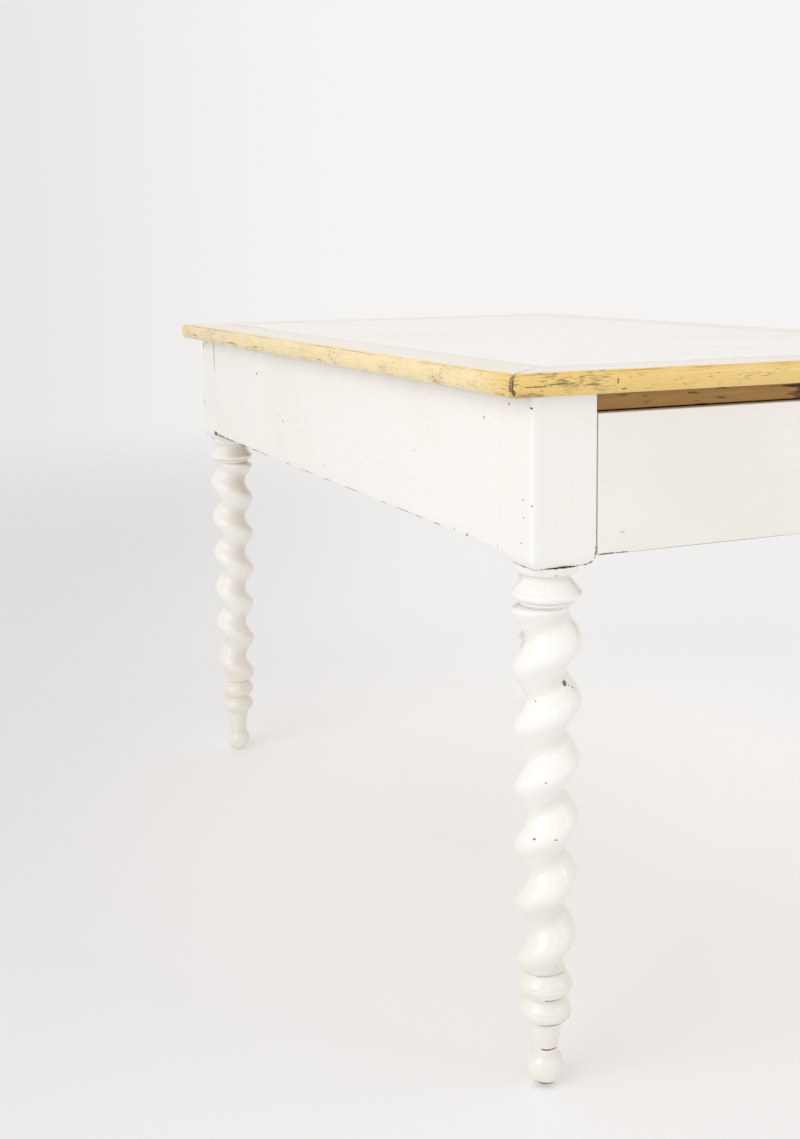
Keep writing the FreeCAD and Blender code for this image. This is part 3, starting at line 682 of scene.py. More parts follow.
@dataclass(frozen=True)
class WornPaint:
    """Brushed gloss paint over wood, with chips at its arrises and here and there elsewhere.

    Attributes:
        name: the material's name.
        grain: the direction of the brush and of the wood.
        colour: the paint.
        aged: the same where it has yellowed.
        under: the wood that shows in chips.
        chips: how readily small chips come anywhere, from 0 to 1.
        rubbing: how readily the arrises are bare, from 0 to 1.
        hollow_dirt_and_shade: how much dirt and painted shade darken the hollows, from 0 to 1.
        gloss: roughness of the smoothest paint.
        relief: height of strokes and orange peel, in metres.
        scar: depth of the wood under the paint in a chip, in metres.
        shift: moves all patterns along.
        cover: where the paint lies; the rest is bare boards.
        spots: places that are surely bare.
    """

    name: str
    grain: Axis
    colour: str = "F3F2EE"
    aged: str = "EEEAE1"
    under: str = "8F6A48"
    chips: float = 0.2
    rubbing: float = 0.2
    hollow_dirt_and_shade: float = 0.12
    gloss: float = 0.26
    relief: float = 0.00003
    scar: float = 0.0003
    shift: float = 0.0
    cover: Cover | None = None
    spots: tuple[Spot, ...] = ()

    def coat(self, graph: Graph) -> Layer:
        """The paint: an uneven tone, brush strokes with the grain, orange peel, dirt and painted
        shade in hollows, and painted shade low down.

        Args:
            graph: the material's graph.

        Returns:
            The paint's layer.
        """
        cloud = graph.noise(0.22, 3.0, (1, 1, 1), self.shift)
        stroke = graph.noise(0.0035, 2.0, along(self.grain, 0.05), self.shift)
        peel = graph.noise(0.009, 1.0, (1, 1, 1), self.shift)
        aged = graph.times(graph.step(cloud, 0.42, 0.72), 0.5)
        tone = graph.mix(aged, linear(self.colour), linear(self.aged))
        brushed = graph.times(graph.step(stroke, 0.4, 0.7), 0.035)
        tone = graph.mix(brushed, tone, linear(Tone.BETWEEN_STROKES))
        # Dirt and painted shade darken the hollows.
        hollow = graph.times(graph.mark("hollow"), self.hollow_dirt_and_shade)
        tone = graph.mix(hollow, tone, linear(Tone.HOLLOW_DIRT_AND_SHADE))
        # Painted shade darkens the legs towards the floor.
        soiled = graph.times(graph.mark("soiled"), 0.45)
        tone = graph.mix(soiled, tone, linear(Tone.LOW_SHADE))
        rough = graph.blend(stroke, self.gloss - 0.03, self.gloss + 0.07)
        relief = graph.plus(graph.times(stroke, self.relief), graph.times(peel, self.relief))
        return Layer(tone, rough, relief)

    def bared(self, graph: Graph) -> Socket:
        """Where the paint is gone: small chips, rubbed arrises and knocked spots.

        Args:
            graph: the material's graph.

        Returns:
            1 where the wood is bare and 0 under paint.
        """
        grit = graph.noise(0.0022, 4.0, (1, 1, 1), self.shift + 5)
        patch = graph.noise(0.014, 2.0, (1, 1, 1), self.shift + 9)
        rubbed = graph.plus(graph.times(patch, 0.65), graph.times(grit, 0.35))
        rubbed = graph.plus(rubbed, graph.times(graph.mark("worn"), 0.1))
        limit = 0.72 - 0.14 * self.rubbing
        arris = graph.step(graph.mark("arris"), 0.75, 0.95)
        bare = graph.times(graph.step(rubbed, limit, limit + 0.012), arris)
        small = graph.noise(0.007, 1.0, (1, 1, 1), self.shift + 13)
        small = graph.plus(small, graph.times(grit, 0.2))
        limit = 0.97 - 0.08 * self.chips
        bare = graph.most(bare, graph.step(small, limit, limit + 0.01))
        ragged = graph.times(graph.minus(grit, 0.5), 2.0)
        for spot in self.spots:
            bare = graph.most(bare, spot.mask(graph, ragged))
        return bare

    def material(self) -> bpy.types.Material:
        """Paint over scarred wood, and bare boards where the brush never went.

        Returns:
            The finished material.
        """
        graph = Graph(self.name)
        late = Tone.CHIPPED_LATE_WOOD
        wood = BareWood(self.name, self.grain, self.under, late, self.shift).layer(graph)
        shown = graph.chipped(self.bared(graph), self.coat(graph), wood, self.scar)
        if self.cover is not None:
            raised = Layer(shown.colour, shown.roughness, graph.plus(shown.height, PAINT_THICK))
            plain = BareWood(self.name, self.grain, shift=self.shift).layer(graph)
            shown = graph.layers(self.cover(graph), plain, raised)
        return graph.finish(shown, **VARNISH)


@dataclass(frozen=True)
class YellowEdge:
    """Old yellow paint round the nose of the top, worn to grey-brown wood in fine streaks.

    Attributes:
        name: the material's name.
        grain: direction of the brush.
        shift: moves all patterns along.
        deep, pale: the paint at the short ends and along the sides.
        far: the paint at the back and in clouds.
    """

    name: str
    grain: Axis
    shift: float = 0.0
    deep: str = "ECCB7A"
    pale: str = "F3DFAC"
    far: str = "EBD8AC"

    def coat(self, graph: Graph) -> Layer:
        """Deep yellow at the short ends that pales along the sides, with strokes and cracks.

        Args:
            graph: the material's graph.

        Returns:
            The paint's layer.
        """
        fade = graph.step(graph.size(graph.y), 0.622, 0.52)
        last = graph.step(graph.y, 0.1, 0.6)
        cloud = graph.noise(0.05, 3.0, along(self.grain, 0.3), self.shift)
        stroke = graph.noise(0.0022, 3.0, along(self.grain, 0.05), self.shift)
        crack = graph.crackle(0.009, 0.05)
        some = graph.step(graph.noise(0.03, 2.0, (1, 1, 1), self.shift + 8), 0.46, 0.6)
        some = graph.times(some, graph.blend(fade, 0.06, 0.3))
        crack = graph.times(crack, some)
        tone = graph.mix(fade, linear(self.deep), linear(self.pale))
        tone = graph.mix(graph.times(last, 0.7), tone, linear(self.far))
        clouded = graph.times(graph.step(cloud, 0.45, 0.7), 0.35)
        tone = graph.mix(clouded, tone, linear(self.far))
        brushed = graph.times(graph.step(stroke, 0.5, 0.7), 0.3)
        tone = graph.mix(brushed, tone, linear(Tone.YELLOW_STROKE))
        tone = graph.mix(crack, tone, linear(Tone.YELLOW_CRACK))
        rough = graph.blend(stroke, 0.3, 0.4)
        relief = graph.minus(graph.times(stroke, 0.00012), graph.times(crack, 0.0003))
        return Layer(tone, rough, relief)

    def streaks(self, graph: Graph, inward: Socket) -> Socket:
        """Fine bare streaks along the edge, thickest near the -X -Y corner of the top.

        Args:
            graph: the material's graph.
            inward: distance inwards from the top's outer edge.

        Returns:
            How bare each place is.
        """
        long = graph.noise(0.0008, 3.0, along(self.grain, 0.09), self.shift + 4)
        patch = graph.noise(0.016, 2.0, along(self.grain, 0.5), self.shift + 6)
        near = graph.times(graph.step(graph.x, -0.15, -0.36), graph.step(graph.y, -0.613, -0.62))
        value = graph.plus(graph.times(long, 0.6), graph.times(patch, 0.4))
        value = graph.plus(value, graph.times(near, 0.044))
        value = graph.plus(value, graph.times(graph.step(inward, 0.0025, 0.0), 0.01))
        lower = graph.times(graph.step(graph.z, 0.754, 0.748), graph.step(graph.x, -0.3, -0.36))
        value = graph.plus(value, graph.times(lower, 0.035))
        return graph.times(graph.step(value, 0.59, 0.65), 0.68)


def dress(piece: bpy.types.Object, material: bpy.types.Material) -> None:
    """Give a piece one material."""
    piece.data.materials.clear()
    piece.data.materials.append(material)


def place_piece(piece: bpy.types.Object, body: str, slot: Slot, *nodes: str) -> bpy.types.Object:
    """Let a piece ride on a body in place of CAD nodes, and report it.

    Args:
        piece: the finished object.
        body: the CAD body it moves with.
        slot: the record's material slot; not used.
        nodes: CAD nodes that it stands for.

    Returns:
        The piece.
    """
    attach(piece, body)
    if nodes:
        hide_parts(*nodes)
    LOG.info("%s on %s: %d vertices", piece.name, body, len(piece.data.vertices))
    return piece


def softened(node: str, ease: float) -> bpy.types.Object:
    """A copy of a CAD node with its doubles merged and its arrises rounded.

    Args:
        node: the CAD node's name.
        ease: width of the rounding in metres.

    Returns:
        The new object.
    """
    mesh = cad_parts[node].data.copy()
    work = bmesh.new()
    work.from_mesh(mesh)
    bmesh.ops.remove_doubles(work, verts=work.verts, dist=DOUBLE)
    bmesh.ops.dissolve_limit(work, angle_limit=math.radians(1), verts=work.verts, edges=work.edges)
    work.to_mesh(mesh)
    work.free()
    made = bpy.data.objects.new(f"{node}_shown", mesh)
    bpy.context.scene.collection.objects.link(made)
    bevel = made.modifiers.new("ease", "BEVEL")
    bevel.width = ease
    bevel.segments = 2
    bevel.limit_method = "ANGLE"
    bevel.angle_limit = math.radians(30)
    bevel.harden_normals = False
    return made


# ---------------------------------------------------------------- knocks

# Middle, half sizes and turn of each place where the paint is gone. For the chips along the left
# apron's lower edge, the middle along Y and half the length.

BORDER_SPOTS = (
    Spot((-0.3742, -0.6205, 0.7590), (0.0034, 0.0034, 0.0092)),
    Spot((-0.3728, -0.6242, 0.7505), (0.0022, 0.0030, 0.0035)),
    Spot((-0.3525, -0.6025, 0.7700), (0.0007, 0.0310, 0.0010), -45.0),
    Spot((-0.3480, -0.6245, 0.7567), (0.0110, 0.0020, 0.0007)),
    Spot((-0.3240, -0.6245, 0.7585), (0.0160, 0.0020, 0.0006)),
    Spot((-0.2860, -0.6245, 0.7565), (0.0090, 0.0020, 0.0008)),
    Spot((-0.2570, -0.6245, 0.7590), (0.0012, 0.0020, 0.0030)),
    Spot((-0.2500, -0.6245, 0.7503), (0.0040, 0.0020, 0.0010)),
    Spot((-0.3745, 0.5400, 0.7545), (0.0020, 0.0150, 0.0009)),
    Spot((-0.3745, 0.3220, 0.7517), (0.0020, 0.0220, 0.0009)),
    Spot((-0.3745, 0.1950, 0.7522), (0.0020, 0.0130, 0.0009)),
    Spot((-0.2990, 0.4700, 0.7700), (0.0012, 0.0900, 0.0010)),
)
PANEL_SPOTS = (
    Spot((0.0344, -0.4100, 0.7700), (0.0005, 0.0700, 0.0010), 15.0),
    Spot((-0.0663, -0.4640, 0.7700), (0.0007, 0.0060, 0.0010), 58.0),
    Spot((-0.0555, -0.5470, 0.7700), (0.0012, 0.0064, 0.0010), 58.0),
    Spot((-0.2990, 0.4700, 0.7700), (0.0012, 0.0900, 0.0010)),
)
LOWER_CHIPS = (
    (0.2697, 0.0333), (0.1453, 0.0117), (0.0604, 0.0286), (-0.0227, 0.0138), (-0.1131, 0.0271),
    (-0.2227, 0.0081), (-0.2835, 0.0212), (-0.3308, 0.0115), (-0.3798, 0.0095),
)
APRON_SPOTS = (
    Spot((-0.3430, -0.5010, 0.7150), (0.0010, 0.0012, 0.0012)),
    Spot((-0.3430, -0.5327, 0.6485), (0.0010, 0.0008, 0.0040)),
    Spot((-0.3430, -0.5324, 0.5800), (0.0010, 0.0010, 0.0040)),
    Spot((-0.3430, 0.5322, 0.7200), (0.0010, 0.0016, 0.0260)),
    Spot((-0.3430, 0.5290, 0.5830), (0.0020, 0.0070, 0.0036)),
    Spot((-0.3430, 0.2906, 0.7045), (0.0010, 0.0030, 0.0016)),
    Spot((-0.3420, 0.5000, 0.5804), (0.0030, 0.0260, 0.0032)),
    Spot((-0.3420, 0.4450, 0.5800), (0.0030, 0.0400, 0.0028)),
    Spot((-0.3420, 0.3700, 0.5800), (0.0030, 0.0320, 0.0026)),
    Spot((-0.3420, 0.3050, 0.5800), (0.0030, 0.0240, 0.0022)),
    Spot((-0.3430, -0.3182, 0.6578), (0.0010, 0.0010, 0.0010)),
    Spot((-0.3430, -0.0059, 0.5988), (0.0010, 0.0012, 0.0010)),
    Spot((-0.3430, -0.1357, 0.6460), (0.0010, 0.0008, 0.0010)),
    Spot((-0.3430, 0.1646, 0.6425), (0.0010, 0.0012, 0.0022)),
    Spot((-0.3430, 0.1878, 0.6477), (0.0010, 0.0008, 0.0012)),
    *(Spot((-0.3426, place, 0.5804), (0.0016, reach, 0.0009)) for place, reach in LOWER_CHIPS),
)
DRAWER_SPOTS = (
    Spot((-0.2560, -0.6060, 0.5806), (0.0120, 0.0012, 0.0012)),
    Spot((-0.2370, -0.6060, 0.5806), (0.0060, 0.0012, 0.0010)),
    Spot((-0.2384, -0.6060, 0.6018), (0.0022, 0.0008, 0.0003)),
    Spot((-0.1300, -0.6058, 0.5801), (0.1400, 0.0012, 0.0005)),
)
NEAR_LEG_SPOTS = (
    Spot((-0.2960, -0.5887, 0.4458), (0.0032, 0.0032, 0.0026)),
    Spot((-0.2905, -0.5875, 0.4420), (0.0012, 0.0012, 0.0008)),
    Spot((-0.2860, -0.5880, 0.4395), (0.0009, 0.0009, 0.0009)),
    Spot((-0.2826, -0.5880, 0.4353), (0.0008, 0.0008, 0.0014)),
    Spot((-0.3247, -0.5813, 0.4284), (0.0015, 0.0015, 0.0007)),
    Spot((-0.3033, -0.6050, 0.4806), (0.0009, 0.0009, 0.0009)),
    Spot((-0.2940, -0.5991, 0.4726), (0.0007, 0.0007, 0.0008)),
    Spot((-0.3227, -0.5991, 0.3467), (0.0010, 0.0010, 0.0006)),
    Spot((-0.3302, -0.5897, 0.2843), (0.0020, 0.0016, 0.0014)),
    Spot((-0.3124, -0.6020, 0.2848), (0.0016, 0.0016, 0.0006)),
    Spot((-0.3350, -0.5720, 0.2790), (0.0012, 0.0012, 0.0016)),
    Spot((-0.3380, -0.5720, 0.3350), (0.0012, 0.0012, 0.0012)),
    Spot((-0.2957, -0.5831, 0.0244), (0.0014, 0.0014, 0.0016)),
    Spot((-0.3240, -0.5930, 0.1010), (0.0016, 0.0016, 0.0020)),
    Spot((-0.3130, -0.5940, 0.1035), (0.0150, 0.0060, 0.0009)),
    Spot((-0.3100, -0.5920, 0.0755), (0.0170, 0.0080, 0.0010)),
    Spot((-0.2880, -0.5890, 0.0795), (0.0040, 0.0060, 0.0016)),
    Spot((-0.2960, -0.5960, 0.0780), (0.0016, 0.0040, 0.0022)),
    Spot((-0.3090, -0.5820, 0.0425), (0.0120, 0.0060, 0.0008)),
    Spot((-0.3130, -0.5790, 0.0035), (0.0150, 0.0100, 0.0028)),
    Spot((-0.2690, -0.6060, 0.5800), (0.0019, 0.0022, 0.0090)),
    Spot((-0.2725, -0.6045, 0.5722), (0.0044, 0.0024, 0.0026)),
    Spot((-0.3100, -0.6010, 0.5705), (0.0290, 0.0030, 0.0010)),
    Spot((-0.3380, -0.5920, 0.5705), (0.0030, 0.0140, 0.0008)),
    Spot((-0.3430, -0.5572, 0.7339), (0.0010, 0.0014, 0.0012)),
    Spot((-0.3420, -0.6030, 0.7338), (0.0014, 0.0014, 0.0012)),
    Spot((-0.3430, -0.5871, 0.6401), (0.0010, 0.0011, 0.0008)),
    Spot((-0.3430, -0.5881, 0.6221), (0.0010, 0.0011, 0.0008)),
    Spot((-0.3430, -0.5829, 0.5956), (0.0010, 0.0011, 0.0008)),
)
FAR_LEG_SPOTS = (
    Spot((-0.3430, 0.5330, 0.7200), (0.0010, 0.0012, 0.0260)),
    Spot((-0.3430, 0.5985, 0.7322), (0.0010, 0.0016, 0.0050)),
    Spot((-0.3430, 0.5782, 0.7385), (0.0010, 0.0016, 0.0040)),
    Spot((-0.3430, 0.5992, 0.6320), (0.0010, 0.0014, 0.0070)),
    Spot((-0.3430, 0.5360, 0.5830), (0.0030, 0.0070, 0.0040)),
)


# ---------------------------------------------------------------- the table's sub-assemblies


@dataclass
class TableTop:
    """Four mitred border members with a rounded yellow edge, round a panel of white boards.

    Sizes are in metres.

    Attributes:
        nose: how far the edge's middle stands out past its arrises.
        border: width of a member.
        arris: radius of the edge's two arrises.
        seam: radius of the members' inner arrises.
        corner_gap: how far the mitre at the -X -Y corner stands open at the outside.
        mitre_gaps: the same at the other mitres, from the front member's end round the top.
        gap_depth: distance inwards over which a gap closes.
        tip: how far the closing points lie inside a member's ends.
        dent: depth of a dent in the nose.
        pitch: distance of sections along a member.
        boards: number of boards in the panel.
        open_seams: seams between boards that paint doesn't fill, counted from the left.
        open_ease, filled_ease: radii of the boards' arrises at open and filled seams.
        pattern: moves the panel's patterns along.
    """

    nose: float = 0.0045
    border: float = 0.076
    arris: float = 0.0012
    seam: float = 0.0003
    corner_gap: float = 0.0010
    mitre_gaps: tuple[float, ...] = (0.0003, 0.0003, 0.0005, 0.0004, 0.0003, 0.0004)
    gap_depth: float = 0.02
    tip: float = 0.0005
    dent: float = 0.0005
    pitch: float = 0.004
    boards: int = 5
    open_seams: tuple[int, ...] = (2, 3)
    open_ease: float = 0.0004
    filled_ease: float = 0.00005
    pattern: float = 10.0

    def __post_init__(self) -> None:
        """Read the top's box from the frame."""
        low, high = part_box("top_border_front")
        self.under, self.top = low.z, high.z
        self.half_width = high.x
        self.half_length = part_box("top_border_left")[1].y

    def section(self) -> tuple[np.ndarray, np.ndarray]:
        """The member's outline: distance inwards from the outer edge, and height.

        The outer side is an arc through both arrises whose sagitta is the nose.

        Returns:
            The outline's points, and for each how much it lies on one of the edge's arrises.
        """
        half = (self.top - self.under) / 2
        radius = (half ** 2 + self.nose ** 2) / (2 * self.nose)
        spread = math.asin(half / radius)
        angle = np.linspace(-spread, spread, 11)
        level = self.under + half + radius * np.sin(angle)
        nose = np.stack([radius * (1 - np.cos(angle)), level], 1)
        flat = np.array([[0.012, self.top], [0.03, self.top]])
        inner = np.array([[self.border, self.top], [self.border, self.under]])
        corners = np.concatenate([nose, flat, inner])
        radii = np.zeros(len(corners))
        radii[[0, 10]] = self.arris
        radii[[-2, -1]] = self.seam
        loop, arris = eased_loop(corners, radii)
        return loop, np.where(loop[:, 0] > self.border / 2, 0, arris)

    def member(self, run: float, reach: float, turn: int, gaps: tuple[float, float]) -> Surface:
        """One border member.

        A section point that lies a distance inwards runs along the edge for the run less twice
        that distance, which mitres both ends. Two more sections lie close to either end. The ends
        draw in by the seam, and by a gap at the outside that shrinks inwards as the exponential of
        the distance over the gap's depth.

        Args:
            run: length of the outer edge.
            reach: distance between the two outer edges.
            turn: quarter turns about Z from the -Y edge.
            gaps: how far the mitre stands open at its outer end, at the start and at the end.

        Returns:
            The closed skin.
        """
        loop, arris = self.section()
        share = np.linspace(-1, 1, int(run / self.pitch))
        close = np.array([1, 1 - 2e-4, 1 - 1.2e-3])
        share = np.concatenate([-close, share[2:-2], close[::-1]])
        inward, height = loop[:, 0], loop[:, 1]
        draw = np.zeros(len(share))
        draw[[0, -1]] = self.seam
        shrink = np.exp(-inward / self.gap_depth)
        opened = np.where(share[:, None] < 0, gaps[0] * shrink, -gaps[1] * shrink)
        place = share[:, None] * (run / 2 - inward) + opened
        middle = np.array([self.border / 2, (self.top + self.under) / 2])
        toward = np.sign(middle - loop)
        across = inward[None] + toward[None, :, 0] * draw[:, None]
        level = height[None] + toward[None, :, 1] * draw[:, None]
        tip = run / 2 - middle[0] - self.tip

        def capped(rows: np.ndarray, start: float, stop: float) -> np.ndarray:
            """Rows with one point more before and after them, which closes the ends."""
            return np.pad(rows, ((1, 1), (0, 0)), constant_values=((start, stop), (0, 0)))

        place = capped(place, -tip, tip)
        across = capped(across, middle[0], middle[0])
        level = capped(level, middle[1], middle[1])
        points = np.stack([place, across - reach / 2, level], -1).reshape(-1, 3)
        marks = np.repeat(arris[None], len(place), axis=0)
        made = Surface(points, grid_faces(len(place), len(loop)), {"arris": marks.ravel()})
        return self.turned(self.worn(made), turn)

    def worn(self, made: Surface) -> Surface:
        """Dents along the nose and its arrises, deepest where they meet.

        Args:
            made: the member as it lies along the -Y edge, with the mark "arris".

        Returns:
            The worn skin, with the mark "worn".
        """
        value = ripple(made.points, 0.05, Seed.NOSE)
        value = value + 0.7 * ripple(made.points, 0.012, Seed.NOSE + 1)
        bite = np.clip(value - 0.9, 0, 1.2) * made.marks["arris"]
        made.points = made.points + np.array([0, 1, 0]) * (self.dent * bite)[:, None]
        made.marks["worn"] = np.clip(bite, 0, 1)
        return made

    def turned(self, made: Surface, turn: int) -> Surface:
        """Turn a skin about Z by quarter turns.

        Args:
            made: the skin.
            turn: number of quarter turns.

        Returns:
            The turned skin.
        """
        angle = turn * math.pi / 2
        cosine, sine = round(math.cos(angle)), round(math.sin(angle))
        made.points = made.points @ np.array([[cosine, sine, 0], [-sine, cosine, 0], [0, 0, 1]])
        return made

    def edge_distance(self, graph: Graph) -> Socket:
        """Distance inwards from the nearest outer edge of the top.

        Args:
            graph: the material's graph.

        Returns:
            The distance in metres.
        """
        across = graph.minus(self.half_width, graph.size(graph.x))
        down = graph.minus(self.half_length, graph.size(graph.y))
        return graph.math("MINIMUM", across, down)

    def border_material(
        self, name: str, grain: Axis, shift: float, spots: tuple[Spot, ...]
    ) -> bpy.types.Material:
        """White on top, yellow round the nose, and bare underneath past a ragged brush line.

        Args:
            name: the material's name.
            grain: the direction of the member.
            shift: moves all patterns along.
            spots: places that are surely bare.

        Returns:
            The material.
        """
        graph = Graph(name)
        inward = self.edge_distance(graph)
        wander = graph.times(graph.minus(graph.noise(0.02, 3.0), 0.5), 0.003)
        from_edge = graph.plus(inward, wander)
        edge = graph.step(from_edge, self.nose + 0.0014, self.nose + 0.0006)
        # The border's white is a darker, pinker copy of the panel's white: painted shade and
        # painted reflection.
        white = WornPaint(
            name, grain, "EEE6DB", "E9DDCC", chips=0.1, rubbing=0.1, shift=shift, spots=spots
        )
        yellow = YellowEdge(name, grain, shift)
        coats = graph.layers(edge, white.coat(graph), yellow.coat(graph))
        streaks = graph.times(yellow.streaks(graph, inward), edge)
        bare = graph.most(white.bared(graph), streaks)
        wood = BareWood(name, grain, Tone.GREY_WOOD, Tone.GREY_LATE_WOOD, shift).layer(graph)
        height = graph.minus(graph.z, graph.times(wander, 0.4))
        line = graph.step(height, self.top - 0.0028, self.top - 0.0020)
        line = graph.times(line, graph.step(height, self.top - 0.0010, self.top - 0.0017))
        broken = graph.step(graph.noise(0.02, 3.0, along(grain, 0.3), shift + 2), 0.38, 0.58)
        line = graph.times(line, graph.times(broken, 0.55))
        # A dark line along the far part of the seam between border and panel: a dark joint and
        # painted shade.
        seam = graph.step(inward, self.border - 0.0016, self.border - 0.0005)
        seam = graph.times(graph.times(seam, graph.step(graph.y, -0.1, 0.5)), 0.7)
        tone = graph.mix(seam, coats.colour, linear(Tone.SEAM_DIRT_AND_SHADE))
        tone = graph.mix(line, tone, linear(Tone.RUBBED_LINE))
        coats = Layer(tone, coats.roughness, coats.height)
        painted = graph.chipped(bare, coats, wood, white.scar)
        below = graph.step(graph.z, self.under + 0.0009, self.under + 0.0002)
        ragged = graph.plus(inward, graph.times(graph.noise(0.03, 3.0), 0.03))
        unpainted = graph.times(below, graph.step(ragged, 0.034, 0.036))
        plain = BareWood(name, grain, shift=shift).layer(graph)
        return graph.finish(graph.layers(unpainted, painted, plain), **VARNISH)

    def build(self) -> None:
        """Build and dress the border and the panel."""
        gaps = (self.corner_gap, *self.mitre_gaps, self.corner_gap)
        for turn, edge in enumerate(("front", "right", "back", "left")):
            node = f"top_border_{edge}"
            run, reach = 2 * self.half_width, 2 * self.half_length
            grain = Axis.X
            if turn % 2:
                run, reach, grain = reach, run, Axis.Y
            surface = self.member(run, reach, turn, gaps[2 * turn:2 * turn + 2])
            piece = surface.piece(f"{node}_shown", sharp=60)
            spots = BORDER_SPOTS if turn in (0, 3) else ()
            dress(piece, self.border_material(f"{node}_finish", grain, 2.0 * turn, spots))
            place_piece(piece, "frame", Slot.WHITE, node)
        for index in range(self.boards):
            self.board(index)

    def board(self, index: int) -> None:
        """One board of the panel: paint fills its seams but for the open ones.

        Args:
            index: number of the board, from 0 at the left.
        """
        node = f"top_board_{index + 1}"
        inner = self.half_width - self.border
        wide = 2 * inner / self.boards
        left = -inner + index * wide
        stop = self.half_length - self.border
        sides = (index, index + 1)
        before, after = (
            self.open_ease if seam in self.open_seams else self.filled_ease for seam in sides
        )
        arrises = (after, before, before, after)
        low, high = (left, -stop, self.under), (left + wide, stop, self.top)
        surface = bar(low, high, Axis.Y, arrises, ends=(0.00025, 0.00025), pitch=0.02)
        piece = surface.piece(f"{node}_shown")
        under = self.under

        def cover(graph: Graph) -> Socket:
            """Painted everywhere but underneath."""
            return graph.step(graph.z, under + 0.0002, under + 0.0009)

        paint = WornPaint(
            f"{node}_finish", Axis.Y, "F5F4F1", "F1EEE9", chips=0.0, rubbing=0.0,
            gloss=0.3, shift=self.pattern, cover=cover, spots=PANEL_SPOTS,
        )
        dress(piece, paint.material())
        place_piece(piece, "frame", Slot.WHITE, node)


